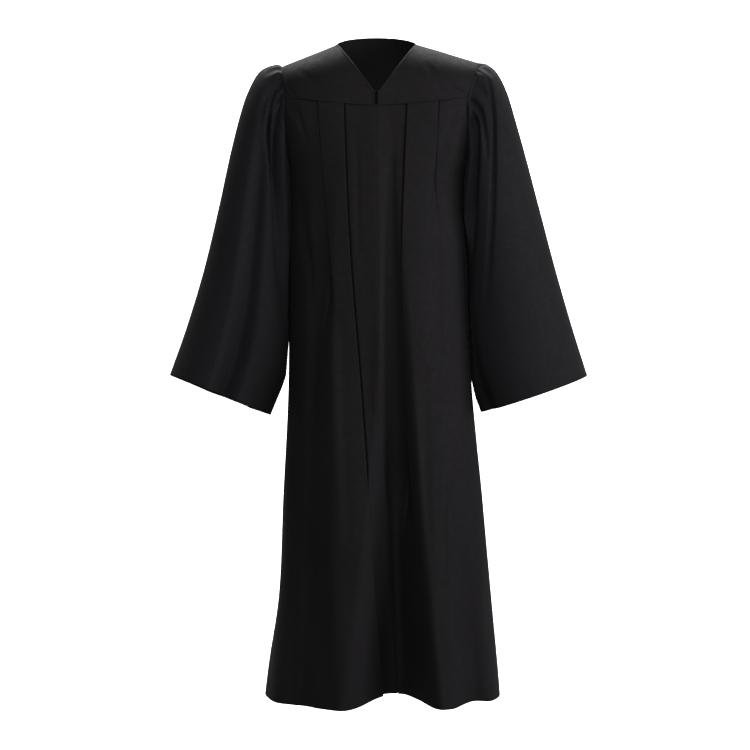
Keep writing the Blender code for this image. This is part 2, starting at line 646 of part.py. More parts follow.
def sleeve_points(side, shares, turns):
    """The outer face of a sleeve as a grid: rings down its length, turns round each ring in degrees."""
    rings = SLEEVES[side]
    at = np.linspace(0, 1, len(rings))
    size = {name: smooth(at, column(rings, name), shares)[:, None] for name in Ring._fields}
    angle = np.radians(turns)[None, :]
    out_share = (1 + np.cos(angle)) / 2
    x = side * (size["in_x"] + (size["out_x"] - size["in_x"]) * out_share)
    z = size["in_z"] + (size["out_z"] - size["in_z"]) * out_share
    front = np.sin(angle)
    y = -front * np.where(front > 0, size["front"], size["back"])
    z = z + CUFF_TILT[side] * front * shares[:, None] ** 2
    points = np.stack([x, y, z], axis=-1)
    rim_z = points[0, :, 2]
    in_front = (front[0] > 0)[:, None]
    rim = np.where(in_front, armhole_points(side, FRONT, rim_z), armhole_points(side, BACK, rim_z))
    rim[:, 0] += side * SEAM
    settle = (1 - ease(0.0, SETTLED_SHARE, shares))[:, None, None]
    points = points + (rim - points[0])[None] * settle
    clearance = SEAM + (SLEEVE_CLEARANCE - SEAM) * np.clip(shares / SEAM_SHARE, 0, 1)[:, None]
    points = clear_of_body(points, side, clearance)
    depth = crease_depth(SLEEVE_FOLDS[side], turns[None, :], shares[:, None])
    depth = depth * ease(0.0, SEAM_SHARE, shares)[:, None]
    points = points - ring_normals(points) * depth[..., None]
    normal = ring_normals(points)
    keep_level(normal, (0,), 0)
    return points, normal


def ring_normals(points):
    """Normals of a grid whose rows close on themselves, pointing away from the rows' centres."""
    padded = np.concatenate([points[:, -1:], points, points[:, :1]], axis=1)
    return normals_of(padded, padded - padded.mean(axis=1, keepdims=True))[:, 1:-1]


def make_sleeve(side, material):
    """A bell sleeve: a tube from the armhole to the open cuff, with gathers at its head."""
    turns = np.arange(SLEEVE_COLUMNS) * 360 / SLEEVE_COLUMNS
    outer, normal = sleeve_points(side, np.array(SLEEVE_SHARES), turns)
    return wall("sleeve_" + SIDE_NAMES[side], outer, normal, CLOTH, material, around=True)


def zip_rows(side, offsets, depth_in):
    """Rows of points at given distances from the centre line, behind the front, from the zip's top down."""
    rows = []
    for z in (SLIDER_BOTTOM - SEAM, *np.linspace(ZIP_SECOND_ROW, ZIP_END_HEIGHT, ZIP_ROWS)):
        drop = YOKE_MIDDLE[FRONT] - z
        start = float(turn_at_x(centre_x(z), z))
        curve = body_row(side, FRONT, start, drop, samples=ZIP_SAMPLES)
        out = section_outward(curve, FRONT)
        sunk = np.full(len(offsets), depth_in)
        rows.append(inward_layer(curve, out, np.asarray(offsets), sunk))
    return np.array(rows)


def zip_depth():
    """How far behind the fronts' outer face the zip lies, clear of their wall and of the yoke's."""
    return PLEAT_DROP + CLOTH + YOKE_LAP


def make_zip(tape_material, metal):
    """Two tapes, the closed chain between them, a slider at the top and its pull."""
    for side in (RIGHT, LEFT):
        offsets = TAPE_START + np.linspace(0, TAPE_WIDTH, TAPE_COLUMNS)
        points = zip_rows(side, offsets, zip_depth())
        normal = normals_of(points, np.array([0, -1, 0]))
        wall("zip_tape_" + SIDE_NAMES[side], points, normal, TAPE_THICK, tape_material)
    left = zip_rows(LEFT, [0.0, CHAIN_HALF], zip_depth())
    right = zip_rows(RIGHT, [0.0, CHAIN_HALF], zip_depth())
    middle = (left[:, 0] + right[:, 0]) / 2
    points = np.stack([right[:, 1], middle, left[:, 1]], axis=1)
    wall("zip_chain", points, normals_of(points, np.array([0, -1, 0])), CHAIN_THICK, tape_material)
    make_slider(metal)
    make_pull(metal)


def front_face_y():
    """The y of the yoke's outer face at the centre front."""
    return -float(depth_of(FRONT, YOKE_MIDDLE[FRONT]))


def pin_place():
    """The axis that the pull turns on, in front of the point of the V."""
    return np.array([0.0, front_face_y() - PULL_CLEARANCE - PULL_THICK / 2, POST_HEIGHT])


def box(name, low, high, material):
    points = [(x, y, z) for x in (low[0], high[0]) for y in (low[1], high[1]) for z in (low[2], high[2])]
    faces = [[0, 1, 3, 2], [4, 6, 7, 5], [0, 4, 5, 1], [2, 3, 7, 6], [0, 2, 6, 4], [1, 5, 7, 3]]
    return add_mesh(name, points, faces, material)


def rod_along_x(name, centre, radius, half, sides, material):
    """A round rod along X."""
    angles = np.arange(sides) * 2 * pi / sides
    points, faces = [], []
    for end in (-half, half):
        points += [(centre[0] + end, centre[1] + radius * cos(a), centre[2] + radius * sin(a)) for a in angles]
    faces.append(list(range(sides)))
    faces.append(list(range(sides, 2 * sides)))
    faces += [[i, (i + 1) % sides, sides + (i + 1) % sides, sides + i] for i in range(sides)]
    return add_mesh(name, points, faces, material)


def combine(base, other, how):
    """Joins or cuts base with other, and applies it, so that the helper can go."""
    change = base.modifiers.new(how, "BOOLEAN")
    change.operation = how
    change.object = other
    change.solver = "EXACT"
    graph = bpy.context.evaluated_depsgraph_get()
    mesh = bpy.data.meshes.new_from_object(base.evaluated_get(graph))
    base.modifiers.clear()
    base.data = mesh
    bpy.data.objects.remove(other)


def make_slider(metal):
    """The slider's body behind the fronts, with a post through the V and a cross pin for the pull."""
    pin = pin_place()
    back = front_face_y() + zip_depth()
    low, high = (-SLIDER_HALF, back, SLIDER_BOTTOM), (SLIDER_HALF, back + SLIDER_THICK, SLIDER_TOP)
    slider = box("zip_slider", low, high, metal)
    post = box(
        "slider_post",
        (-POST_HALF, pin[1], pin[2] - POST_HALF),
        (POST_HALF, back + SLIDER_THICK / 2, pin[2] + POST_HALF),
        metal,
    )
    combine(slider, post, "UNION")
    combine(slider, rod_along_x("slider_pin", pin, PIN_RADIUS, PIN_HALF, 14, metal), "UNION")
    return slider


def make_pull(metal):
    """The pull: a flat tab with a rounded foot, hung by two ears on the slider's pin."""
    pin = pin_place()
    pull = rod_along_x("zip_pull", (0, 0, 0), EAR_RADIUS, PULL_HALF, 16, metal)
    flat = PULL_THICK / 2
    tab = box("pull_tab", (-PULL_HALF, -flat, -PULL_LENGTH), (PULL_HALF, flat, 0), metal)
    combine(pull, tab, "UNION")
    low, high = (-EAR_INNER, -2 * EAR_RADIUS, -SLOT_DEPTH), (EAR_INNER, 2 * EAR_RADIUS, 2 * EAR_RADIUS)
    slot = box("pull_slot", low, high, metal)
    combine(pull, slot, "DIFFERENCE")
    hole = rod_along_x("pull_hole", (0, 0, 0), EAR_HOLE_RADIUS, 2 * PULL_HALF, 16, metal)
    combine(pull, hole, "DIFFERENCE")
    pull.location = tuple(pin)
    return pull


def main():
    for old in list(bpy.data.objects):
        bpy.data.objects.remove(old)
    cloth = make_material("gown_cloth", BLACK_CLOTH, 0.85, 0.0)
    tape = make_material("zip_tape", BLACK_CLOTH, 0.80, 0.0)
    metal = make_material("black_enamel", BLACK_ENAMEL, 0.35, 0.6)
    for side in (RIGHT, LEFT):
        make_front(side, cloth)
        make_front_yoke(side, cloth)
        make_sleeve(side, cloth)
    make_back(cloth)
    make_back_yoke(cloth)
    make_zip(tape, metal)


main()
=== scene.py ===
"""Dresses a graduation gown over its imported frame, and sets a plain studio around it.

Metres, +Z up. The front faces -Y and +X is the wearer's left. Every cloth piece is a surface over two parameters,
one down the cloth and one across it, that becomes a thin wall with turned edges.
"""

from collections import namedtuple

import bpy
import numpy as np
from bpy.props import FloatProperty, FloatVectorProperty, IntProperty, PointerProperty
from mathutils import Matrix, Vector


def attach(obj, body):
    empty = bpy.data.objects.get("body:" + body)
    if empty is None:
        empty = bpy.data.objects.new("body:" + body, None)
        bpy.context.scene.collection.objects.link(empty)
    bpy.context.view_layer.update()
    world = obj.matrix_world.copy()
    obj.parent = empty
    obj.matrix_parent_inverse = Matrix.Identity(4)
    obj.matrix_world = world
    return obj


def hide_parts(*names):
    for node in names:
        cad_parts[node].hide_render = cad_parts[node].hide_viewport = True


bl_info = {
    "name": "Graduation gown",
    "version": (1, 0, 0),
    "blender": (4, 5, 0),
    "location": "3D View > Sidebar > Gown",
    "description": "Makes the cloth, sewing and zip of a graduation gown over its frame, with a plain studio",
    "category": "Object",
}

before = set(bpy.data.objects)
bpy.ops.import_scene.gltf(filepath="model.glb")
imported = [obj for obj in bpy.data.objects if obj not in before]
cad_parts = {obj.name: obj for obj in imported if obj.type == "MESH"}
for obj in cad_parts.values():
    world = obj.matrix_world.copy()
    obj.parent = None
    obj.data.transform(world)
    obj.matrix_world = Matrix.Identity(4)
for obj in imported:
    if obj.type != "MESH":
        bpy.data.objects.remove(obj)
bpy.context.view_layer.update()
BODY = "gown"
PULL_BODY = "pull"
RIGHT, LEFT = -1, 1
FRONT, BACK = -1, 1
SIDE_NAMES = {RIGHT: "right", LEFT: "left"}

# The cut: the same driving sizes as the solids that the cloth is fitted over.
SEAM = 0.0003
NECK_HALF = 0.079
NAPE_HEIGHT = 0.023
NAPE_DEPTH = 0.062
V_HEIGHT = -0.111
YOKE_MIDDLE = {FRONT: -0.1315, BACK: -0.150}
YOKE_END = {FRONT: -0.112, BACK: -0.135}
ARMHOLE_DEPTH = {FRONT: 0.062, BACK: 0.066}
UNDERARM_HEIGHT = -0.250
HEM_HEIGHT = -1.292
CENTRE_GAP = 0.00012
YOKE_LAP = 0.0005
ROUNDNESS = 2.4
HEM_LIFT = 0.06
YOKE_SAG_POWER = 1.5
NECK_FROM, NECK_COLUMNS = 40, 61
UNDERLAP = 0.018
UNDERLAP_SHARE = 0.36
PLEAT_DROP = 0.0040
OPENING_DROP = 0.0110
GROOVE = 0.0030
GROOVE_REACH = 0.0050
SLOT = 0.0085
SLOT_REACH = 0.0022
LOOSENING = (0.0, 0.3)
OPENED_STEP = 0.0070
SLEEVE_CLEARANCE = 0.0035

Section = namedtuple("Section", "z right left front back")
TORSO = [
    Section(z=-0.120, right=0.213, left=0.211, front=0.098, back=0.106),
    Section(z=-0.250, right=0.1765, left=0.1785, front=0.124, back=0.128),
    Section(z=-0.450, right=0.1755, left=0.1810, front=0.134, back=0.142),
    Section(z=-0.700, right=0.1770, left=0.1920, front=0.146, back=0.150),
    Section(z=-0.900, right=0.1870, left=0.2120, front=0.165, back=0.164),
    Section(z=-1.100, right=0.1960, left=0.2290, front=0.188, back=0.180),
    Section(z=-1.295, right=0.2210, left=0.2470, front=0.212, back=0.200),
]

Centre = namedtuple("Centre", "z x")
CENTRE_LINE = [
    Centre(z=-0.12, x=0.0),
    Centre(z=-0.45, x=0.003),
    Centre(z=-0.80, x=0.0145),
    Centre(z=-1.00, x=0.024),
    Centre(z=-1.295, x=0.042),
]

Fold = namedtuple("Fold", "start x_start x_hem bow tuck deep grow fade right_start right_hem left_start left_hem")
FRONT_FOLDS = [
    Fold(-0.14, 0.018, 0.042, 0.009, 0.0, 0.135, 2.2, 0.0, 0.022, 0.115, 0.024, 0.088),
    Fold(-0.26, -0.104, -0.128, -0.004, 0.0, 0.060, 1.0, 0.8, 0.030, 0.060, 0.030, 0.060),
    Fold(-0.72, 0.150, 0.187, 0.0, 0.0, 0.035, 1.5, 0.0, 0.030, 0.045, 0.030, 0.045),
]
BACK_FOLDS = [
    Fold(-0.14, -0.126, -0.172, 0.0, 0.0035, 0.020, 1.3, 0.0, 0.018, 0.030, 0.018, 0.034),
    Fold(-0.14, -0.084, -0.112, 0.0, 0.0035, 0.034, 1.3, 0.0, 0.018, 0.032, 0.018, 0.030),
    Fold(-0.14, -0.042, -0.054, 0.003, 0.0035, 0.024, 1.2, 0.0, 0.018, 0.028, 0.018, 0.030),
    Fold(-0.14, 0.000, 0.006, 0.002, 0.0035, 0.036, 1.4, 0.0, 0.018, 0.030, 0.018, 0.030),
    Fold(-0.14, 0.042, 0.066, 0.0, 0.0035, 0.026, 1.2, 0.0, 0.018, 0.030, 0.018, 0.030),
    Fold(-0.14, 0.084, 0.126, -0.003, 0.0035, 0.036, 1.3, 0.0, 0.018, 0.032, 0.018, 0.032),
    Fold(-0.14, 0.126, 0.190, 0.0, 0.0035, 0.020, 1.3, 0.0, 0.018, 0.034, 0.018, 0.030),
]
FOLDS = {FRONT: FRONT_FOLDS, BACK: BACK_FOLDS}

PLEAT_HEIGHTS = (-0.12, -0.26, -0.42, -0.70, -1.00, -1.295)
Pleat = namedtuple("Pleat", "side x opens opened deepens")
PLEATS = [
    Pleat(RIGHT, (-0.065, -0.061, -0.053, -0.031, -0.0095, 0.0135), -2.0, -2.5, 0.0080),
    Pleat(RIGHT, (-0.115, -0.105, -0.092, -0.100, -0.117, -0.135), -0.36, -0.62, 0.0),
    Pleat(LEFT, (0.061, 0.055, 0.0495, 0.057, 0.066, 0.082), -0.76, -1.00, 0.0),
    Pleat(LEFT, (0.121, 0.115, 0.111, 0.114, 0.1245, 0.142), -0.20, -0.42, 0.0),
]

Ring = namedtuple("Ring", "out_x out_z in_x in_z front back")
SLEEVES = {
    RIGHT: [
        Ring(0.1870, -0.0430, 0.1765, -0.250, 0.062, 0.066),
        Ring(0.2010, -0.0395, 0.1700, -0.262, 0.068, 0.072),
        Ring(0.2330, -0.0540, 0.1630, -0.290, 0.075, 0.080),
        Ring(0.2570, -0.0960, 0.1600, -0.330, 0.080, 0.086),
        Ring(0.2730, -0.1440, 0.1600, -0.368, 0.083, 0.090),
        Ring(0.2930, -0.2240, 0.1600, -0.425, 0.087, 0.094),
        Ring(0.3160, -0.3300, 0.1610, -0.495, 0.091, 0.098),
        Ring(0.3450, -0.4500, 0.1650, -0.580, 0.096, 0.103),
        Ring(0.3790, -0.5620, 0.1800, -0.660, 0.101, 0.108),
        Ring(0.4130, -0.6580, 0.2110, -0.738, 0.106, 0.112),
    ],
    LEFT: [
        Ring(0.2030, -0.0360, 0.1785, -0.250, 0.062, 0.066),
        Ring(0.2190, -0.0390, 0.1720, -0.262, 0.068, 0.072),
        Ring(0.2400, -0.0560, 0.1660, -0.290, 0.075, 0.080),
        Ring(0.2600, -0.0950, 0.1630, -0.330, 0.080, 0.086),
        Ring(0.2770, -0.1500, 0.1620, -0.368, 0.083, 0.090),
        Ring(0.3000, -0.2320, 0.1620, -0.425, 0.087, 0.094),
        Ring(0.3260, -0.3300, 0.1630, -0.495, 0.091, 0.098),
        Ring(0.3580, -0.4500, 0.1680, -0.580, 0.096, 0.103),
        Ring(0.3900, -0.5600, 0.1780, -0.655, 0.101, 0.108),
        Ring(0.4210, -0.6580, 0.2060, -0.732, 0.106, 0.112),
    ],
}
CUFF_TILT = {RIGHT: 0.0085, LEFT: 0.0}

# The zip: its slider stands in the V, with its chain and tapes behind the fronts below it.
ZIP_DEPTH = 0.0060
ZIP_START = -0.1159
ZIP_END = -0.740
CHAIN_HALF = 0.0022
CHAIN_THICK = 0.0016
TAPE_START = 0.0029
TAPE_WIDTH = 0.0140
SLIDER_TOP = -0.1040
SLIDER_BOTTOM = -0.1156
SLIDER_HALF = 0.0042
SLIDER_THICK = 0.0026
POST_HALF = 0.0009
PIN_HEIGHT = -0.1062
PIN_RADIUS = 0.0006
PIN_HALF = 0.0027
PULL_CLEARANCE = 0.0008
PULL_HALF = 0.0027
PULL_THICK = 0.0012
PULL_LENGTH = 0.0240
EAR_INNER = 0.0012
EAR_RADIUS = 0.0016
EAR_HOLE_RADIUS = 0.00085
SLOT_DEPTH = 0.00256

# A sleeve fold: turns in degrees from the top of the shoulder, by the front, at its two ends down the sleeve.
Crease = namedtuple("Crease", "turn_start turn_end from_share to_share deep half_turn lasts")
SLEEVE_FOLDS = {
    RIGHT: [
        Crease(24, 32, 0.00, 0.20, 0.005, 9, False),
        Crease(54, 62, 0.00, 0.34, 0.009, 9, False),
        Crease(70, 84, 0.02, 0.40, 0.007, 7, False),
        Crease(84, 146, 0.05, 0.80, 0.026, 20, False),
        Crease(60, 138, 0.14, 0.70, 0.013, 8, False),
        Crease(72, 98, 0.22, 1.00, 0.030, 19, True),
        Crease(332, 325, 0.00, 0.24, 0.006, 14, False),
        Crease(295, 300, 0.00, 0.34, 0.009, 14, False),
        Crease(262, 225, 0.10, 1.00, 0.022, 22, True),
        Crease(300, 290, 0.40, 1.00, 0.016, 22, True),
    ],
    LEFT: [
        Crease(24, 32, 0.00, 0.20, 0.005, 9, False),
        Crease(56, 64, 0.00, 0.30, 0.009, 9, False),
        Crease(74, 90, 0.02, 0.42, 0.007, 7, False),
        Crease(92, 154, 0.05, 0.74, 0.026, 20, False),
        Crease(42, 120, 0.14, 0.76, 0.009, 8, False),
        Crease(148, 150, 0.45, 1.00, 0.010, 18, True),
        Crease(332, 325, 0.00, 0.24, 0.006, 14, False),
        Crease(295, 300, 0.00, 0.34, 0.009, 14, False),
        Crease(262, 228, 0.10, 1.00, 0.022, 22, True),
        Crease(305, 292, 0.40, 1.00, 0.016, 22, True),
    ],
}

# Small gathers where a sleeve's head is eased into the armhole, uneven all round.
Gather = namedtuple("Gather", "turn lean length deep half_turn")
SLEEVE_GATHERS = [
    Gather(6, 3, 0.10, 0.0026, 4.5),
    Gather(15, 2, 0.15, 0.0035, 5.0),
    Gather(38, 5, 0.12, 0.0032, 4.5),
    Gather(46, 4, 0.20, 0.0042, 5.5),
    Gather(66, 6, 0.14, 0.0035, 5.0),
    Gather(77, 9, 0.24, 0.0038, 6.0),
    Gather(92, 6, 0.12, 0.0026, 5.0),
    Gather(112, 4, 0.09, 0.0019, 5.0),
    Gather(346, -3, 0.13, 0.0032, 5.0),
    Gather(321, -4, 0.18, 0.0038, 5.5),
    Gather(309, -3, 0.11, 0.0029, 4.5),
    Gather(283, -6, 0.21, 0.0038, 5.5),
    Gather(270, -5, 0.12, 0.0029, 5.0),
    Gather(250, -4, 0.10, 0.0022, 5.0),
]

# Creases on the flat pieces: a line from one place to another as seen from the front or back, and its depth.
Dent = namedtuple("Dent", "x_from z_from x_to z_to half deep")
FRONT_DENTS = {
    RIGHT: [
        Dent(-0.178, -0.116, -0.160, -0.150, 0.0050, 0.0022),
        Dent(-0.170, -0.113, -0.147, -0.172, 0.0060, 0.0020),
        Dent(-0.160, -0.114, -0.138, -0.200, 0.0070, 0.0016),
        Dent(-0.150, -0.300, -0.132, -0.520, 0.0160, 0.0040),
        Dent(-0.085, -0.560, -0.070, -0.980, 0.0180, -0.0035),
        Dent(-0.146, -0.430, -0.160, -1.700, 0.0460, 0.0120),
        Dent(-0.168, -0.760, -0.180, -1.500, 0.0200, 0.0050),
        Dent(-0.040, -0.180, -0.034, -0.420, 0.0100, 0.0018),
    ],
    LEFT: [
        Dent(0.166, -0.116, 0.146, -0.176, 0.0060, 0.0020),
        Dent(0.156, -0.114, 0.132, -0.215, 0.0080, 0.0018),
        Dent(0.118, -0.330, 0.122, -0.640, 0.0140, 0.0030),
        Dent(0.142, -0.840, 0.139, -1.060, 0.0090, -0.0030),
        Dent(0.090, -0.640, 0.102, -1.100, 0.0160, 0.0028),
        Dent(0.032, -0.170, 0.028, -0.400, 0.0090, 0.0016),
        Dent(0.027, -0.240, 0.037, -1.160, 0.0200, 0.0085),
    ],
}
BACK_DENTS = [
    Dent(-0.150, -0.150, -0.128, -0.230, 0.0070, 0.0022),
    Dent(0.148, -0.150, 0.126, -0.240, 0.0070, 0.0022),
    Dent(-0.100, -0.160, -0.104, -0.330, 0.0060, 0.0018),
    Dent(-0.064, -0.158, -0.070, -0.290, 0.0060, 0.0020),
    Dent(-0.020, -0.158, -0.022, -0.380, 0.0060, 0.0016),
    Dent(0.022, -0.158, 0.026, -0.310, 0.0060, 0.0020),
    Dent(0.064, -0.158, 0.074, -0.360, 0.0060, 0.0018),
    Dent(0.104, -0.160, 0.112, -0.300, 0.0060, 0.0020),
    Dent(-0.140, -0.620, -0.150, -1.100, 0.0160, 0.0040),
    Dent(0.030, -0.500, 0.036, -0.900, 0.0140, -0.0030),
    Dent(0.150, -0.700, 0.164, -1.160, 0.0160, 0.0036),
]
YOKE_DENTS = {
    FRONT: [
        Dent(-0.182, -0.098, -0.168, -0.118, 0.0040, 0.0018),
        Dent(-0.174, -0.094, -0.160, -0.112, 0.0040, 0.0014),
        Dent(0.141, -0.092, 0.174, -0.104, 0.0050, 0.0026),
        Dent(0.150, -0.084, 0.178, -0.094, 0.0045, -0.0012),
        Dent(-0.150, -0.060, -0.110, -0.095, 0.0110, 0.0012),
        Dent(0.100, -0.050, 0.128, -0.096, 0.0120, 0.0012),
    ],
    BACK: [
        Dent(-0.150, -0.070, -0.110, -0.128, 0.0110, 0.0016),
        Dent(0.158, -0.080, 0.120, -0.126, 0.0110, 0.0016),
        Dent(-0.030, -0.020, -0.040, -0.110, 0.0140, 0.0014),
    ],
}

# The flat cut of each piece: its widest width, its length, and its area where it isn't a rectangle.
Cut = namedtuple("Cut", "width length area held")

# Long shallow waves that keep the cloth from lying perfectly even.
Ripple = namedtuple("Ripple", "across down phase deep")
RIPPLES = [
    Ripple(23.0, 2.3, 4.0, 0.00080),
    Ripple(41.0, -3.1, 0.3, 0.00055),
    Ripple(67.0, 5.2, 1.9, 0.00032),
    Ripple(9.0, 11.0, 2.7, 0.00060),
    Ripple(97.0, -7.0, 5.1, 0.00018),
]


def smooth(stations, values, at):
    """A cubic through the values at the stations, with each slope taken from its neighbours, read at the places."""
    stations = np.asarray(stations, float)
    values = np.asarray(values, float)
    order = np.argsort(stations)
    stations, values = stations[order], values[order]
    slopes = np.gradient(values, stations)
    at = np.clip(at, stations[0], stations[-1])
    i = np.clip(np.searchsorted(stations, at) - 1, 0, len(stations) - 2)
    step = stations[i + 1] - stations[i]
    t = (at - stations[i]) / step
    rise = values[i + 1] - values[i]
    bend = step * (slopes[i] * (t - 2 * t**2 + t**3) + slopes[i + 1] * (t**3 - t**2))
    return values[i] + rise * (3 * t**2 - 2 * t**3) + bend


def column(table, name):
    return [getattr(row, name) for row in table]


def ease(low, high, at):
    """0 below low, 1 above high, and 3t^2 - 2t^3 between."""
    t = np.clip((at - low) / (high - low), 0, 1)
    return t * t * (3 - 2 * t)


def hollow(distance, reach):
    """A trough's depth share: half of one plus the cosine, over its reach to each side."""
    return 0.5 + 0.5 * np.cos(np.pi * np.clip(np.abs(distance) / reach, 0, 1))


def unit(vectors):
    return vectors / np.maximum(np.linalg.norm(vectors, axis=-1, keepdims=True), 1e-12)


def normals_of(points, out):
    """Unit normals of a grid of points, turned to agree on the whole with a rough outward direction."""
    normal = unit(np.cross(np.gradient(points, axis=1), np.gradient(points, axis=0)))
    return normal * np.sign((normal * out).sum())


def ring_normals(points):
    """Normals of a grid whose rows close on themselves, pointing away from the rows' centres."""
    padded = np.concatenate([points[:, -1:], points, points[:, :1]], axis=1)
    return normals_of(padded, padded - padded.mean(axis=1, keepdims=True))[:, 1:-1]


def torso_size(name, z):
    return smooth(column(TORSO, "z"), column(TORSO, name), z)


def half_width(x, z):
    return np.where(np.asarray(x) < 0, torso_size("right", z), torso_size("left", z))


def centre_x(z):
    """Where the two fronts meet, as it wanders sideways down the skirt."""
    return smooth(column(CENTRE_LINE, "z"), column(CENTRE_LINE, "x"), z)


def depth_of(facing, z):
    return torso_size("front" if facing == FRONT else "back", z)


def rounded(share):
    """The rest of a superellipse: what one axis keeps when the other has used up a share."""
    return np.clip(1 - np.clip(np.abs(share), 0, 1) ** ROUNDNESS, 0, 1) ** (1 / ROUNDNESS)


def fold_depth(folds, x, z):
    """How far the long folds pull the cloth in: each is a cosine trough that widens and deepens to the hem."""
    total = np.zeros(np.broadcast(x, z).shape)
    for fold in folds:
        fall = np.clip((fold.start - z) / (fold.start - HEM_HEIGHT), 0, 1)
        middle = fold.x_start + (fold.x_hem - fold.x_start) * fall + 4 * fold.bow * fall * (1 - fall)
        right = fold.right_start + (fold.right_hem - fold.right_start) * fall**2
        left = fold.left_start + (fold.left_hem - fold.left_start) * fall**2
        strength = fold.tuck * (1 - fall) + fold.deep * fall**fold.grow * (1 - fold.fade * fall)
        total += hollow(x - middle, np.where(x < middle, right, left)) * strength
    return total


def torso_points(turn, z, facing):
    """A superellipse at each height, pulled in along Y by the long folds.

    Turn goes from -1 at the right side seam to 1 at the left: x is the half width times sin^(2/n) of the turn, and y
    is the depth times cos^(2/n)."""
    angle = turn * np.pi / 2
    x = np.sign(turn) * half_width(turn, z) * np.abs(np.sin(angle)) ** (2 / ROUNDNESS)
    y = facing * depth_of(facing, z) * np.abs(np.cos(angle)) ** (2 / ROUNDNESS)
    inward = fold_depth(FOLDS[facing], x, z) * np.clip(np.abs(np.cos(angle)) * 2.5, 0, 1)
    return np.stack([x, y - facing * inward, z + HEM_LIFT * inward], axis=-1)


def turn_at_x(x, z):
    share = np.clip(np.abs(x) / half_width(x, z), 0, 1)
    return np.sign(x) * np.arcsin(share ** (ROUNDNESS / 2)) / (np.pi / 2)


def turn_at_depth(side, depth, z, facing):
    share = np.clip(depth / depth_of(facing, z), 0, 1)
    return side * np.arccos(share ** (ROUNDNESS / 2)) / (np.pi / 2)


def armhole_depth(z, facing):
    """How far the armhole's edge lies in front of or behind the side: a quarter ellipse down to the underarm."""
    top = YOKE_END[facing]
    share = np.clip((top - z) / (top - UNDERARM_HEIGHT), 0, 1)
    return ARMHOLE_DEPTH[facing] * np.sqrt(1 - share**2)


def yoke_corner(side, facing):
    """Where the yoke's seam meets the armhole."""
    z = YOKE_END[facing]
    x = side * half_width(side, z) * rounded(ARMHOLE_DEPTH[facing] / depth_of(facing, z))
    return np.array([x, facing * ARMHOLE_DEPTH[facing], z])


def shoulder_tip(side):
    ring = SLEEVES[side][0]
    return np.array([side * ring.out_x, 0.0, ring.out_z])


def armhole_points(side, facing, z):
    """The armhole's edge at given heights: an arc down the yoke's end, then the body's side."""
    tip, corner = shoulder_tip(side), yoke_corner(side, facing)
    share = np.clip((z - tip[2]) / (corner[2] - tip[2]), 0, 1)
    depth = armhole_depth(z, facing)
    body_x = side * half_width(side, z) * rounded(depth / depth_of(facing, z))
    on_yoke = z > corner[2]
    x = np.where(on_yoke, tip[0] + (corner[0] - tip[0]) * share, body_x)
    y = np.where(on_yoke, corner[1] * np.sqrt(1 - (1 - share) ** 2), facing * depth)
    return np.stack([x, y, z], axis=-1)


def body_rows(side, facing, starts, drops, samples=320):
    """Rows of a body panel from the middle to its side edge, at distances below the yoke's seam."""
    top, middle_top = YOKE_END[facing], YOKE_MIDDLE[facing]
    share = np.linspace(0, 1, samples)[None, :]
    seam = middle_top + (top - middle_top) * share**YOKE_SAG_POWER
    z = seam - drops[:, None] * (seam - HEM_HEIGHT) / (top - HEM_HEIGHT)
    side_z = z[:, -1]
    at_armhole = turn_at_depth(side, armhole_depth(np.minimum(side_z, top), facing), side_z, facing)
    end = np.where(side_z > UNDERARM_HEIGHT, at_armhole, side)
    turn = starts[:, None] + (end - starts)[:, None] * share
    return torso_points(turn, z, facing)


def runs_of(curves):
    """Distances along each row of a grid from its first point."""
    steps = np.linalg.norm(np.diff(curves, axis=1), axis=-1)
    return np.concatenate([np.zeros((len(curves), 1)), np.cumsum(steps, axis=1)], axis=1)


def between(runs, values, where):
    """Values along each row, read at distances by straight steps between its samples."""
    i = (runs[:, None, :] <= where[..., None]).sum(axis=-1) - 1
    i = np.clip(i, 0, runs.shape[1] - 2)
    rows = np.arange(len(runs))[:, None]
    low = runs[rows, i]
    t = (where - low) / np.maximum(runs[rows, i + 1] - low, 1e-12)
    if values.ndim == 3:
        t = t[..., None]
    return values[rows, i] * (1 - t) + values[rows, i + 1] * t


def level_outward(curves, facing):
    """Level directions square to each row, pointing away from the wearer."""
    along = np.gradient(curves, axis=1)
    out = unit(np.stack([-along[..., 1], along[..., 0], np.zeros(along.shape[:2])], axis=-1))
    third = curves.shape[1] // 3
    return out * np.sign(out[:, third, 1] * facing)[:, None, None]


def dent_depth(dents, x, z):
    """Depth of the listed creases: cosine troughs about straight lines, fading to each end."""
    total = np.zeros(x.shape)
    for dent in dents:
        run = np.array([dent.x_to - dent.x_from, dent.z_to - dent.z_from])
        length = np.hypot(*run)
        run = run / length
        along = (x - dent.x_from) * run[0] + (z - dent.z_from) * run[1]
        across = (x - dent.x_from) * run[1] - (z - dent.z_from) * run[0]
        share = np.clip(along / length, 0, 1)
        past = np.hypot(across, along - share * length)
        total += dent.deep * hollow(past, dent.half) * (0.35 + 0.65 * np.sin(np.pi * share) ** 0.8)
    return total


def ripple_depth(u, v):
    """A sum of long shallow sine waves across and down the cloth."""
    return sum(r.deep * np.sin(r.across * u + r.down * v + r.phase) for r in RIPPLES)


def fold_edge(middle, normal, half):
    """Adds rows past a grid's last one, where the wall thins round a quarter circle to a folded edge."""
    angles = np.radians([28.0, 54.0, 74.0, 88.0])[:, None, None]
    along = unit(middle[-1] - middle[-2])[None]
    middle = np.concatenate([middle, middle[-1][None] + along * half[-1][None, :, None] * np.sin(angles)])
    normal = np.concatenate([normal, np.repeat(normal[-1:], len(angles), axis=0)])
    half = np.concatenate([half, half[-1][None] * np.cos(angles[..., 0])])
    return middle, normal, half


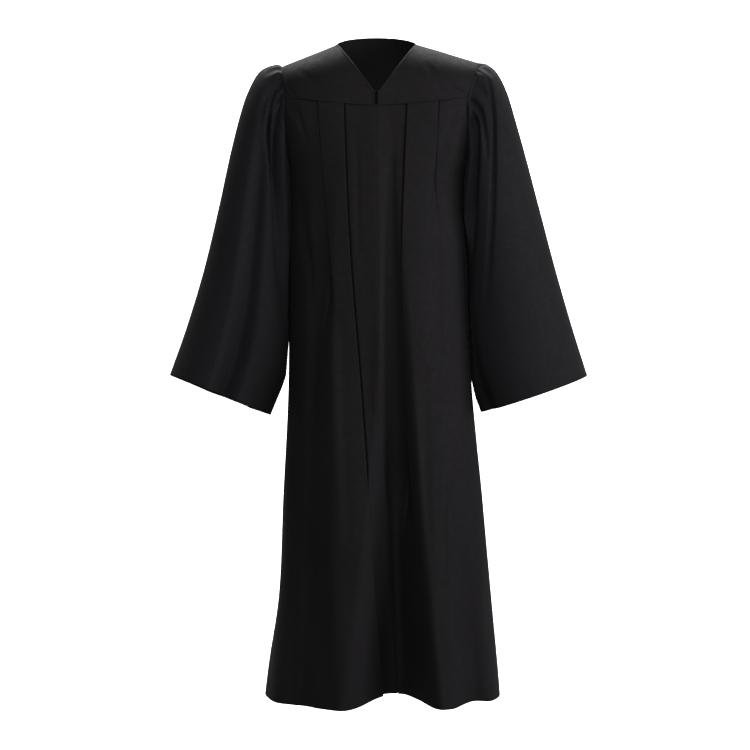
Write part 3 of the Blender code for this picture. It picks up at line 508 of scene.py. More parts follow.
def turn_in(middle, normal, half, allowance, radius=0.0005):
    """Turns a grid's last row into a seam: round a quarter circle, then straight in for the allowance."""
    edge, out, thick = middle[-1], normal[-1], half[-1]
    along = edge - middle[-2]
    along = unit(along - out * (along * out).sum(axis=-1, keepdims=True))
    start = edge - along * (radius + thick)[:, None]
    angles = np.radians([0.0, 30.0, 60.0, 90.0])[:, None, None]
    bend = start + along * radius * np.sin(angles) - out * radius * (1 - np.cos(angles))
    inward = bend[-1] - out * allowance * np.array([0.3, 1.0])[:, None, None]
    bend_out = out * np.cos(angles) + along * np.sin(angles)
    middle = np.concatenate([middle[:-1], bend, inward])
    normal = np.concatenate([normal[:-1], bend_out, bend_out[-1:], bend_out[-1:]])
    half = np.concatenate([half[:-1], np.repeat(half[-1:], 6, axis=0)])
    return middle, normal, half


def flange_edge(middle, normal, half, wide):
    """Steps a grid's last row in and carries it on under the next piece's edge."""
    along = unit(middle[-1] - middle[-2])
    steps = [(0.0006, 0.0003), (0.0020, 0.0007), (0.0030, 0.0030), (0.0034, wide)]
    more = [middle[-1] - normal[-1] * down + along * on for down, on in steps]
    middle = np.concatenate([middle, more])
    normal = np.concatenate([normal, np.repeat(normal[-1:], len(steps), axis=0)])
    half = np.concatenate([half, np.repeat(half[-1:] * 0.7, len(steps), axis=0)])
    return middle, normal, half


def at_edge(edge, change, grids, *sizes):
    """Makes a change for a grid's last row on any edge: its top or foot row, its start or end column."""
    if edge in ("start", "end"):
        grids = [grid.swapaxes(0, 1) for grid in grids]
    if edge in ("top", "start"):
        grids = [grid[::-1] for grid in grids]
    grids = change(*grids, *sizes)
    if edge in ("top", "start"):
        grids = [grid[::-1] for grid in grids]
    if edge in ("start", "end"):
        grids = [grid.swapaxes(0, 1) for grid in grids]
    return grids


def wall(name, middle, normal, half, around=False):
    """A closed wall about a grid: points at the middle plus and minus the normal times half the thickness.

    Its UV map holds distances along the cloth in metres."""
    rows, cols = middle.shape[:2]
    offset = normal * half[..., None]
    points = np.concatenate([(middle + offset).reshape(-1, 3), (middle - offset).reshape(-1, 3)])
    if around:
        middle = np.concatenate([middle, middle[:, :1]], axis=1)
    wide = middle.shape[1]
    row, col = np.meshgrid(np.arange(rows - 1), np.arange(wide - 1), indexing="ij")
    low = row * wide + col
    outer = np.stack([low, low + wide, low + wide + 1, low + 1], -1).reshape(-1, 4)
    inner = outer[:, ::-1] + rows * wide
    top, down = np.arange(wide), np.arange(rows) * wide
    edges = [top, (top + (rows - 1) * wide)[::-1]]
    if not around:
        edges += [down[::-1], down + wide - 1]
    rims = [np.stack([e[1:], e[:-1], e[:-1] + rows * wide, e[1:] + rows * wide], -1) for e in edges]
    corners = np.concatenate([outer, inner, *rims])
    layer, place = np.divmod(corners, rows * wide)
    faces = layer * rows * cols + place // wide * cols + place % wide % cols
    u = runs_of(middle)
    v = runs_of(middle.swapaxes(0, 1)).swapaxes(0, 1)
    uv = np.tile(np.stack([u.ravel(), -v.ravel()], -1), (2, 1))
    return new_mesh(name, points, faces, uv[corners.ravel()])


def new_mesh(name, points, faces, uv=None):
    """An object from arrays of points and faces, with a UV for each face corner."""
    mesh = bpy.data.meshes.new(name)
    mesh.from_pydata(np.asarray(points).tolist(), [], [list(face) for face in faces])
    if uv is not None:
        mesh.uv_layers.new(name="cloth").data.foreach_set("uv", uv.astype(np.float32).ravel())
    mesh.shade_smooth()
    mesh.set_sharp_from_angle(angle=np.radians(50))
    mesh.update()
    piece = bpy.data.objects.new(name, mesh)
    bpy.context.scene.collection.objects.link(piece)
    point_outward(mesh)
    return piece


def point_outward(mesh):
    """Turns a closed mesh the right way round if its signed volume is negative."""
    mesh.calc_loop_triangles()
    corner = np.zeros(len(mesh.loop_triangles) * 3, np.int32)
    mesh.loop_triangles.foreach_get("vertices", corner)
    place = np.zeros(len(mesh.vertices) * 3, np.float32)
    mesh.vertices.foreach_get("co", place)
    a, b, c = place.reshape(-1, 3).astype(float)[corner.reshape(-1, 3)].transpose(1, 0, 2)
    if (a * np.cross(b, c)).sum() < 0:
        mesh.flip_normals()


def finish_piece(piece, material, body=BODY, nodes=()):
    piece.data.materials.clear()
    piece.data.materials.append(material)
    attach(piece, body)
    if nodes:
        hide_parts(*nodes)
    return piece


def opened_share(pleat, z):
    """0 where a pleat's edge is pressed shut, 1 where its cloth has opened out flat."""
    return 1 - ease(pleat.opened, pleat.opens, z)


def pleat_drop(pleat, z):
    """The depth of a pleat's step: deeper while its overlap opens, none once flat, and more by the hem."""
    opened = opened_share(pleat, z)
    below = YOKE_MIDDLE[FRONT] - z
    fall = below / (YOKE_MIDDLE[FRONT] - HEM_HEIGHT)
    shut = PLEAT_DROP * (0.55 + 0.45 * ease(0.0, 0.07, below)) * (1 - opened)
    return shut + 4 * opened * (1 - opened) * OPENING_DROP + pleat.deepens * fall**3


def groove_depth(past, opened, fall):
    """The cloth dips where it comes out from under a pressed edge, the more the lower, with a narrow slot in the dip."""
    dip = GROOVE * (1 + 1.6 * fall) * hollow(past, GROOVE_REACH)
    slot = SLOT * (0.1 + 0.9 * ease(0.1, 0.6, fall)) * hollow(past, SLOT_REACH)
    return (dip + slot) * (1 - opened)


def overlap(place, toward, lap, drop, opened, fall):
    """The cloth's way under a pleat's edge and out again, as distances along the row and depths.

    Shut, it runs round a half circle, back for the lap, round a second half circle and out. Opened, it spreads evenly
    over six steps. Between the two it is a blend."""
    turn = np.linspace(0, np.pi, 9)
    back = np.linspace(0, 1, 6)[1:-1]
    bulge = np.concatenate([np.sin(turn), 0 * back, -np.sin(turn), 0 * back, [0]])
    laps = np.concatenate([0 * turn, back, 0 * turn + 1, 1 - back, [0]])
    level = (1 - np.cos(turn)) / 2
    first = 0.5 - 0.3 * ease(*LOOSENING, opened)
    flat = np.ones((len(first), len(back) + 1))
    share = np.concatenate([first * level, first + (1 - 2 * first) * back, 1 - first + first * level, flat], axis=1)
    groove = np.concatenate([np.zeros(len(bulge) - 5), np.linspace(0.2, 1, 5)]) * groove_depth(0, opened, fall)
    shut = drop / 4 * bulge - lap * laps
    spread = 3 * OPENED_STEP * np.linspace(-1, 1, len(bulge))
    return place + toward * (shut * (1 - opened) + spread * opened), drop * share + groove


def front_layout(side, total, edges, z):
    """Distances and depths of a front's columns at each row, from the centre through the box pleat to the side."""
    lap = np.minimum(UNDERLAP, UNDERLAP_SHARE * (edges[1] - edges[0]))
    near_pleat, far_pleat = [pleat for pleat in PLEATS if pleat.side == side]
    near_drop, far_drop = pleat_drop(near_pleat, z), pleat_drop(far_pleat, z)
    fall = (YOKE_MIDDLE[FRONT] - z) / (YOKE_MIDDLE[FRONT] - HEM_HEIGHT)
    near_open, far_open = opened_share(near_pleat, z), opened_share(far_pleat, z)
    near, near_deep = overlap(edges[0], -1, lap, near_drop, near_open, fall)
    far, far_deep = overlap(edges[1], 1, lap, far_drop, far_open, fall)
    inner = CENTRE_GAP + (near[:, -1:] - CENTRE_GAP) * (1 - np.linspace(1, 0, 20)[:-1] ** 1.8)
    inner_deep = near_drop * (0.3 + 0.7 * ease(-0.004, 0.030, inner))
    inner_deep += groove_depth(near[:, -1:] - inner, near_open, fall) * ease(0.0, 0.010, inner)
    top = near[:, :1] + (far[:, :1] - near[:, :1]) * np.linspace(0, 1, 26)[1:-1]
    outer = far[:, -1:] + (total - SEAM / 2 - far[:, -1:]) * np.linspace(0, 1, 44)[1:] ** 1.5
    outer_deep = far_drop * (1 - ease(far[:, -1:], total - 0.010, outer))
    outer_deep += groove_depth(outer - far[:, -1:], far_open, fall)
    where = np.concatenate([inner, near[:, ::-1], top, far, outer], axis=1)
    depth = np.concatenate([inner_deep, near_deep[:, ::-1], 0 * top, far_deep, outer_deep], axis=1)
    return where, depth


def hem_half(points, cloth):
    """Half the wall's thickness down a piece: single cloth, then swollen where the hem is turned up."""
    above = np.linalg.norm(points - points[-1:], axis=-1).mean(axis=1)
    swell = 1 - ease(cloth.hem_turn - 0.001, cloth.hem_turn + 0.001, above)
    return (cloth.wall / 2 * (1 + cloth.hem_swell * swell))[:, None] * np.ones(points.shape[:2])


def panel_grids(points, out, away, cloth):
    """A body panel as a wall: its top runs up behind the yoke, its sides turn in and its hem is folded."""
    normal = normals_of(points, out)
    half = hem_half(points, cloth)
    middle = points - normal * half[..., None]
    behind = [middle[0] + np.array([0, 0, up]) - away[0] * deep for up, deep in ((0.0085, 0.0012), (0.0016, 0.0010))]
    middle = np.concatenate([behind, middle])
    normal = np.concatenate([away[:1], away[:1], normal])
    half = np.concatenate([half[:1], half[:1], half])
    grids = (middle, normal, half)
    for edge, column_at in (("start", 0), ("end", -1)):
        at_armhole = np.abs(middle[:, column_at, :1]) > 0.1
        at_armhole &= middle[:, column_at, 2:] > UNDERARM_HEIGHT - 0.004
        grids = at_edge(edge, turn_in, grids, np.where(at_armhole, cloth.armhole_allowance, cloth.allowance), 0.0002)
    return at_edge("foot", fold_edge, grids)


def front_surface(side, rows=172):
    """A front: horizontal sections of the body whose cloth follows the pleats' way, with creases and ripples."""
    drops = np.linspace(SEAM, YOKE_END[FRONT] - HEM_HEIGHT, rows)
    z = (YOKE_MIDDLE[FRONT] - drops)[:, None]
    starts = turn_at_x(centre_x(z[:, 0]), z[:, 0])
    curves = body_rows(side, FRONT, starts, drops)
    runs = runs_of(curves)
    pleat_x = [smooth(PLEAT_HEIGHTS, pleat.x, z) for pleat in PLEATS if pleat.side == side]
    edges = [between(side * curves[..., 0], runs, side * x) for x in pleat_x]
    where, depth = front_layout(side, runs[:, -1:], edges, z)
    place = between(runs, curves, where)
    away = unit(between(runs, level_outward(curves, FRONT), where))
    fade = ease(0.0, 0.012, where) * ease(0.0, 0.012, runs[:, -1:] - where) * ease(0.0, 0.012, drops[:, None])
    uneven = dent_depth(FRONT_DENTS[side], place[..., 0], place[..., 2])
    uneven += ripple_depth(side * where, place[..., 2]) * np.clip(drops[:, None] / 0.3, 0.3, 1.6)
    lap = YOKE_LAP * (1 - ease(0.002, 0.030, drops))[:, None]
    return place - away * (depth + lap + uneven * fade)[..., None], away


def back_surface(rows=172, half_columns=92):
    """The back: horizontal sections with flutes under the yoke, and creases and ripples."""
    drops = np.linspace(SEAM, YOKE_END[BACK] - HEM_HEIGHT, rows)
    halves = []
    for side in (RIGHT, LEFT):
        curves = body_rows(side, BACK, np.zeros(rows), drops)
        runs = runs_of(curves)
        where = (runs[:, -1:] - SEAM / 2) * np.linspace(0, 1, half_columns)
        place = between(runs, curves, where)
        away = unit(between(runs, level_outward(curves, BACK), where))
        fade = ease(0.0, 0.012, runs[:, -1:] - where) * ease(0.0, 0.012, drops[:, None])
        uneven = dent_depth(BACK_DENTS, place[..., 0], place[..., 2])
        uneven += ripple_depth(side * where + 3.0, place[..., 2]) * np.clip(drops[:, None] / 0.3, 0.3, 1.6)
        lap = YOKE_LAP * (1 - ease(0.002, 0.030, drops))[:, None]
        halves.append((place - away * (lap + uneven * fade)[..., None], away))
    (right, right_away), (left, left_away) = halves
    return np.concatenate([right[:, :0:-1], left], axis=1), np.concatenate([right_away[:, :0:-1], left_away], axis=1)


def crease_depth(folds, turn, share):
    """How far a sleeve's long folds pull its cloth in: cosine troughs that drift round the sleeve on their way down."""
    total = np.zeros(np.broadcast(turn, share).shape)
    for fold in folds:
        run = np.clip((share - fold.from_share) / (fold.to_share - fold.from_share), 0, 1)
        middle = fold.turn_start + (fold.turn_end - fold.turn_start) * run
        away = (turn - middle + 180) % 360 - 180
        inside = (share >= fold.from_share) & (share <= fold.to_share)
        if fold.lasts:
            strength = run**1.2
        elif fold.from_share == 0:
            strength = np.cos(np.pi / 2 * run)
        else:
            strength = np.sin(np.pi * run**0.7)
        total += hollow(away, fold.half_turn) * np.where(inside, strength, 0) * fold.deep
    return total


def gather_depth(side, turn, share):
    """Small gathers at the sleeve's head: deepest in the seam, gone at their length."""
    total = np.zeros(np.broadcast(turn, share).shape)
    for i, gather in enumerate(SLEEVE_GATHERS):
        shift = 3.5 * side * np.sin(2.4 * i)
        run = np.clip(share / gather.length, 0, 1)
        away = (turn - (gather.turn + shift + gather.lean * run) + 180) % 360 - 180
        total += gather.deep * hollow(away, gather.half_turn * (1 + run)) * np.cos(np.pi / 2 * run)
    return total


def clear_of_body(points, side, clearance):
    """Pushes sleeve points sideways until they lie clear of the body's side, where its panels are."""
    y, z = points[..., 1], points[..., 2]
    deep = np.where(y < 0, depth_of(FRONT, z), depth_of(BACK, z))
    body = half_width(side, z) * rounded(y / deep) + clearance
    hole = np.where(y < 0, armhole_depth(z, FRONT), armhole_depth(z, BACK))
    beside = (z < YOKE_END[BACK]) & (np.abs(y) < deep) & (np.abs(y) > hole - 0.006)
    pushed = np.where(beside, np.maximum(side * points[..., 0], body), side * points[..., 0])
    return np.stack([side * pushed, y, z], axis=-1)


def sleeve_surface(side, rows=150, columns=216):
    """A sleeve: rings through an outer and an inner point of its outline.

    Round each ring, x and z go by the cosine of the turn between the two points, and y goes by its sine times the
    ring's depth. The first ring settles on the armhole's edge."""
    shares = np.linspace(0, 1, rows) ** 1.15
    turns = np.arange(columns) * 360 / columns
    rings = SLEEVES[side]
    at = np.linspace(0, 1, len(rings))
    size = {name: smooth(at, column(rings, name), shares)[:, None] for name in Ring._fields}
    angle = np.radians(turns)[None, :]
    out_share = (1 + np.cos(angle)) / 2
    front = np.sin(angle)
    x = side * (size["in_x"] + (size["out_x"] - size["in_x"]) * out_share)
    y = -front * np.where(front > 0, size["front"], size["back"])
    z = size["in_z"] + (size["out_z"] - size["in_z"]) * out_share
    z = z + CUFF_TILT[side] * front * shares[:, None] ** 2
    points = np.stack([x, y, z], axis=-1)
    rim_z = points[0, :, 2]
    in_front = (front[0] > 0)[:, None]
    rim = np.where(in_front, armhole_points(side, FRONT, rim_z), armhole_points(side, BACK, rim_z))
    rim[:, 0] += side * SEAM
    settle = (1 - ease(0.0, 0.22, shares))[:, None, None]
    points = points + (rim - points[0])[None] * settle
    clearance = SEAM + (SLEEVE_CLEARANCE - SEAM) * np.clip(shares / 0.03, 0, 1)[:, None]
    points = clear_of_body(points, side, clearance)
    turn_grid, share_grid = turns[None, :], shares[:, None]
    deep = crease_depth(SLEEVE_FOLDS[side], turn_grid, share_grid) + gather_depth(side, turn_grid, share_grid)
    girth = np.radians(turn_grid) * 0.11
    deep = deep + ripple_depth(girth + side, z) * hollow(turn_grid - 180, 175) * 1.4
    points = points - ring_normals(points) * (deep * ease(0.0, 0.03, shares)[:, None])[..., None]
    return points


def zip_surface(side, offsets, depth, rows):
    """Rows at given distances from the centre line, at a depth behind the fronts, down the length of the zip."""
    z = np.linspace(ZIP_START, ZIP_END, rows)
    drops = YOKE_MIDDLE[FRONT] - z
    curves = body_rows(side, FRONT, turn_at_x(centre_x(z), z), drops, samples=600)
    runs = runs_of(curves)
    where = np.ones((rows, 1)) * np.asarray(offsets)[None, :]
    away = unit(between(runs, level_outward(curves, FRONT), where))
    return between(runs, curves, where) - away * depth, away


def plate(outline, low_y, high_y, edge):
    """A flat plate between two depths whose outline, of x and z, is drawn in by the edge at both faces."""
    along = unit(np.roll(outline, -1, axis=0) - np.roll(outline, 1, axis=0))
    inward = np.stack([-along[:, 1], along[:, 0]], -1)
    area = (outline[:, 0] * np.roll(outline[:, 1], -1) - np.roll(outline[:, 0], -1) * outline[:, 1]).sum()
    inward = inward * np.sign(area)
    count = len(outline)
    rings = [(low_y, edge), (low_y + edge * 0.3, edge * 0.3), (low_y + edge, 0.0)]
    rings += [(high_y - edge, 0.0), (high_y - edge * 0.3, edge * 0.3), (high_y, edge)]
    points = []
    for y, inset in rings:
        flat = outline + inward * inset
        points.append(np.stack([flat[:, 0], np.full(count, y), flat[:, 1]], -1))
    row, col = np.meshgrid(np.arange(len(rings) - 1), np.arange(count), indexing="ij")
    near, far = row * count + col, row * count + (col + 1) % count
    faces = np.stack([near, far, far + count, near + count], -1).reshape(-1, 4).tolist()
    last = (len(rings) - 1) * count
    return np.concatenate(points), faces + [list(range(count))[::-1], list(range(last, last + count))]


def ring_on_pin(centre, low_x, high_x, inner, outer, sides=24):
    """An eye on the zip's pin: a rectangle between two radii, turned about X, with its outer corners eased."""
    ease_in = (outer - inner) * 0.3
    profile = [(low_x, inner), (low_x, outer - ease_in), (low_x + ease_in, outer)]
    profile += [(high_x - ease_in, outer), (high_x, outer - ease_in), (high_x, inner)]
    profile = np.array(profile)
    angle = np.arange(sides) * 2 * np.pi / sides
    x = np.repeat(profile[:, 0], sides)
    y = np.outer(profile[:, 1], np.cos(angle)).ravel()
    z = np.outer(profile[:, 1], np.sin(angle)).ravel()
    row, col = np.meshgrid(np.arange(len(profile)), np.arange(sides), indexing="ij")
    after, turned = (row + 1) % len(profile) * sides, (col + 1) % sides
    faces = np.stack([row * sides + col, row * sides + turned, after + turned, after + col], -1).reshape(-1, 4)
    return np.stack([x, y, z], -1) + centre, faces


def neck_edge_x(z):
    """The front neckline: straight down to the point of the V, then the centre."""
    return np.maximum(NECK_HALF * (1 - z / V_HEIGHT), CENTRE_GAP)


def front_yoke_surface(side, rows=64):
    """A front yoke: arcs from the shoulder seam down to the seam over the pleats.

    By the angle of the arc, y grows with its sine to the body's depth, and z falls with one less its cosine."""
    tip, corner = shoulder_tip(side), yoke_corner(side, FRONT)
    across = np.concatenate([np.linspace(0, 0.035, 10)[:-1], np.linspace(0.035, 1, 80)])[None, :]
    angle = np.linspace(SEAM / 2 / ARMHOLE_DEPTH[FRONT], np.pi / 2, rows)[:, None]
    fall = 1 - np.cos(angle)
    inner_x = neck_edge_x(YOKE_MIDDLE[FRONT] * fall)
    outer_x = np.abs(tip[0] + (corner[0] - tip[0]) * fall)
    x = inner_x + (outer_x - SEAM - inner_x) * across
    foot_x = side * (CENTRE_GAP + (abs(corner[0]) - CENTRE_GAP) * across)
    foot_z = YOKE_MIDDLE[FRONT] + (corner[2] - YOKE_MIDDLE[FRONT]) * across**YOKE_SAG_POWER
    foot_y = depth_of(FRONT, foot_z) * rounded(foot_x / half_width(side, foot_z))
    z = tip[2] * across * (1 - fall) + foot_z * fall
    points = np.stack([side * x, -foot_y * np.sin(angle), z], axis=-1)
    return dented_yoke(points, FRONT, np.array([0, -0.5, 1]))


def back_yoke_surface(rows=64):
    """The back yoke in one piece, from armhole to armhole, with the neck's curve in its top edge.

    The neck's edge is half an ellipse behind the neck, and arcs run from it down to the seam over the flutes."""
    angle = np.linspace(SEAM / 2 / ARMHOLE_DEPTH[BACK], np.pi / 2, rows)[:, None]
    shoulder = np.linspace(1, 0, NECK_FROM + 1)[:-1]
    neck = np.linspace(0, np.pi, NECK_COLUMNS)
    right, left = shoulder_tip(RIGHT), shoulder_tip(LEFT)
    right_x = (right[0] + SEAM + NECK_HALF) * shoulder - NECK_HALF
    left_x = (left[0] - SEAM - NECK_HALF) * shoulder[::-1] + NECK_HALF
    xs = np.concatenate([right_x, -NECK_HALF * np.cos(neck), left_x])
    ys = np.concatenate([0 * shoulder, NAPE_DEPTH * np.sin(neck), 0 * shoulder])
    zs = np.concatenate([right[2] * shoulder, NAPE_HEIGHT * np.sin(neck), left[2] * shoulder[::-1]])
    arch = np.concatenate([0 * shoulder + 1, 1 - ease(0.0, 0.6, np.sin(neck)), 0 * shoulder + 1])
    share = np.abs(xs) / (np.where(xs < 0, -right[0], left[0]) - SEAM)
    end = np.where(xs < 0, -yoke_corner(RIGHT, BACK)[0], yoke_corner(LEFT, BACK)[0]) - SEAM
    foot_x = np.sign(xs) * end * share
    foot_z = YOKE_MIDDLE[BACK] + (YOKE_END[BACK] - YOKE_MIDDLE[BACK]) * share**YOKE_SAG_POWER
    foot_y = depth_of(BACK, foot_z) * rounded(foot_x / half_width(xs, foot_z))
    fall = 1 - np.cos(angle)
    out = arch * np.sin(angle) + (1 - arch) * fall * (2 - fall)
    points = np.stack([xs + (foot_x - xs) * fall, ys + (foot_y - ys) * out, zs + (foot_z - zs) * fall], axis=-1)
    return dented_yoke(points, BACK, np.array([0, 0.5, 1]))


def dented_yoke(points, facing, out):
    normal = normals_of(points, out)
    deep = dent_depth(YOKE_DENTS[facing], points[..., 0], points[..., 2])
    rows, cols = points.shape[:2]
    down, across = np.linspace(0, 1, rows)[:, None], np.linspace(0, 1, cols)[None, :]
    fade = ease(0.0, 0.12, down) * ease(0.0, 0.05, 1 - down) * ease(0.0, 0.06, across) * ease(0.0, 0.04, 1 - across)
    deep = (deep + 0.6 * ripple_depth(points[..., 0], points[..., 2])) * fade
    points = points - normal * deep[..., None]
    return points, normals_of(points, out)


def rod(path, out, radius, sides=12):
    """A closed round rod along a path, as points and faces: a circle at each point, and a flat cap at each end."""
    along = unit(np.gradient(path, axis=0))
    side = unit(np.cross(along, out))
    up = np.cross(side, along)
    angle = np.arange(sides) * 2 * np.pi / sides
    ring = side[:, None] * np.cos(angle)[None, :, None] + up[:, None] * np.sin(angle)[None, :, None]
    points = (path[:, None] + ring * radius).reshape(-1, 3)
    row, col = np.meshgrid(np.arange(len(path) - 1), np.arange(sides), indexing="ij")
    near, far = row * sides + col, row * sides + (col + 1) % sides
    faces = np.stack([near, far, far + sides, near + sides], -1).reshape(-1, 4).tolist()
    last = (len(path) - 1) * sides
    return points, faces + [list(range(sides))[::-1], list(range(last, last + sides))]


def beads(centre, along, up, length, thick, dip=0.0):
    """Short oval beads, each of three bands of six sides with flat ends, as points and faces.

    Along a bead, its radius is small at the ends and full between, and its ends dip below its middle."""
    side = unit(np.cross(along, up))
    stations = np.array([-1.0, -0.6, 0.6, 1.0])
    swell = np.array([0.3, 1.0, 1.0, 0.3])
    angle = np.arange(6) * np.pi / 3
    forth = np.repeat(stations, 6) * length / 2
    across = np.outer(swell, np.cos(angle)).ravel() * thick / 2
    rise = (np.outer(swell, np.sin(angle)) - dip * (1 - swell)[:, None]).ravel() * thick / 2
    points = centre[:, None] + along[:, None] * forth[:, None] + side[:, None] * across[:, None]
    points = (points + up[:, None] * rise[:, None]).reshape(-1, 3)
    row, col = np.meshgrid(np.arange(3), np.arange(6), indexing="ij")
    near, far = row * 6 + col, row * 6 + (col + 1) % 6
    bands = np.stack([near, far, far + 6, near + 6], -1).reshape(-1, 4)
    ends = np.array([[0, 3, 2, 1], [0, 5, 4, 3], [18, 19, 20, 21], [18, 21, 22, 23]])
    one = np.concatenate([bands, ends])
    return points, (one[None] + (np.arange(len(centre)) * 24)[:, None, None]).reshape(-1, 4)


def stitches(path, out, sewing):
    """A row of machine stitches: beads laid end to end at an even pitch along a path on the cloth."""
    run = np.concatenate([[0], np.cumsum(np.linalg.norm(np.diff(path, axis=0), axis=1))])
    where = np.arange(sewing.pitch / 2, run[-1], sewing.pitch)
    slope = np.gradient(path, run, axis=0)
    centre, up, along = (np.stack([np.interp(where, run, v[:, k]) for k in range(3)], -1) for v in (path, out, slope))
    return beads(centre, unit(along), unit(up), sewing.length, sewing.thread, dip=1.2)


def merged(name, parts):
    """One object from several sets of points and faces."""
    points, faces, count = [], [], 0
    for more, shapes in parts:
        points.append(more)
        faces += [[count + i for i in shape] for shape in np.asarray(shapes, object).tolist()]
        count += len(more)
    return new_mesh(name, np.concatenate(points), faces)


class NodeMaker:
    """Short calls that add and link shader nodes in one tree."""

    def __init__(self, tree):
        self.tree = tree

    def add(self, kind, **settings):
        node = self.tree.nodes.new(kind)
        for key, value in settings.items():
            setattr(node, key, value)
        return node

    def put(self, socket, value):
        if isinstance(value, bpy.types.NodeSocket):
            self.tree.links.new(value, socket)
        else:
            socket.default_value = value

    def math(self, operation, *values):
        node = self.add("ShaderNodeMath", operation=operation)
        for socket, value in zip(node.inputs, values):
            self.put(socket, value)
        return node.outputs[0]

    def vector(self, operation, *values):
        node = self.add("ShaderNodeVectorMath", operation=operation)
        for socket, value in zip(node.inputs, values):
            self.put(socket, value)
        return node.outputs[0]

    def noise(self, vector, scale, detail=3.0, roughness=0.5):
        node = self.add("ShaderNodeTexNoise")
        self.put(node.inputs["Vector"], vector)
        self.put(node.inputs["Scale"], scale)
        node.inputs["Detail"].default_value = detail
        node.inputs["Roughness"].default_value = roughness
        return node.outputs["Fac"]

    def spread(self, value, low, high, to_low=0.0, to_high=1.0):
        node = self.add("ShaderNodeMapRange")
        for socket, setting in zip(node.inputs, (value, low, high, to_low, to_high)):
            self.put(socket, setting)
        return node.outputs[0]

    def mix(self, share, first, second):
        node = self.add("ShaderNodeMix", data_type="RGBA")
        for name, value in (("Factor", share), ("A", first), ("B", second)):
            socket = next(s for s in node.inputs if s.name == name and s.enabled)
            self.put(socket, value)
        return next(s for s in node.outputs if s.enabled)


def new_group(name, inputs, outputs):
    tree = bpy.data.node_groups.new(name, "ShaderNodeTree")
    for label, kind, default in inputs:
        socket = tree.interface.new_socket(label, in_out="INPUT", socket_type=kind)
        if default is not None:
            socket.default_value = default
    for label, kind in outputs:
        tree.interface.new_socket(label, in_out="OUTPUT", socket_type=kind)
    maker = NodeMaker(tree)
    return tree, maker, maker.add("NodeGroupInput").outputs, maker.add("NodeGroupOutput").inputs


def weave_group():
    """A plain weave on a UV map in metres: threads cross over and under, with thicker slubs along each way."""
    inputs = [
        ("Place", "NodeSocketVector", None),
        ("Pitch", "NodeSocketFloat", 0.0005),
        ("Slub", "NodeSocketFloat", 0.5),
    ]
    outputs = [("Height", "NodeSocketFloat"), ("Shade", "NodeSocketFloat")]
    tree, maker, given, result = new_group("Plain weave", inputs, outputs)
    place = maker.add("ShaderNodeSeparateXYZ")
    maker.put(place.inputs[0], given["Place"])
    turns = maker.math("DIVIDE", np.pi, given["Pitch"])
    warp = maker.math("COSINE", maker.math("MULTIPLY", place.outputs[0], turns))
    weft = maker.math("COSINE", maker.math("MULTIPLY", place.outputs[1], turns))
    crossing = maker.math("ABSOLUTE", maker.math("MULTIPLY", warp, weft))
    down = maker.noise(maker.vector("MULTIPLY", given["Place"], (900.0, 22.0, 1.0)), 1.0, 2.0)
    along = maker.noise(maker.vector("MULTIPLY", given["Place"], (22.0, 900.0, 1.0)), 1.0, 2.0)
    slub = maker.math("MULTIPLY", maker.math("ADD", down, along), given["Slub"])
    maker.put(result["Height"], maker.math("ADD", crossing, slub))
    maker.put(result["Shade"], maker.math("MULTIPLY", maker.math("ADD", crossing, slub), 0.5))
    return tree


def unevenness_group():
    """Slow changes over the surface, such as dye, handling and soft pressing: masks from 0 to 1."""
    inputs = [("Place", "NodeSocketVector", None), ("Scale", "NodeSocketFloat", 9.0)]
    outputs = [("Broad", "NodeSocketFloat"), ("Fine", "NodeSocketFloat")]
    tree, maker, given, result = new_group("Unevenness", inputs, outputs)
    stretched = maker.vector("MULTIPLY", given["Place"], (1.0, 1.0, 0.35))
    broad = maker.noise(stretched, given["Scale"], 3.0, 0.55)
    fine = maker.noise(given["Place"], maker.math("MULTIPLY", given["Scale"], 11.0), 4.0, 0.6)
    maker.put(result["Broad"], maker.spread(broad, 0.35, 0.65))
    maker.put(result["Fine"], maker.spread(fine, 0.35, 0.65))
    return tree


def shared_group(name, make):
    return bpy.data.node_groups.get(name) or make()


def use_group(maker, name, make, **values):
    node = maker.add("ShaderNodeGroup", node_tree=shared_group(name, make))
    for key, value in values.items():
        maker.put(node.inputs[key], value)
    return node.outputs


def new_material(name):
    material = bpy.data.materials.new(name)
    material.use_nodes = True
    maker = NodeMaker(material.node_tree)
    shader = material.node_tree.nodes["Principled BSDF"]
    return material, maker, shader


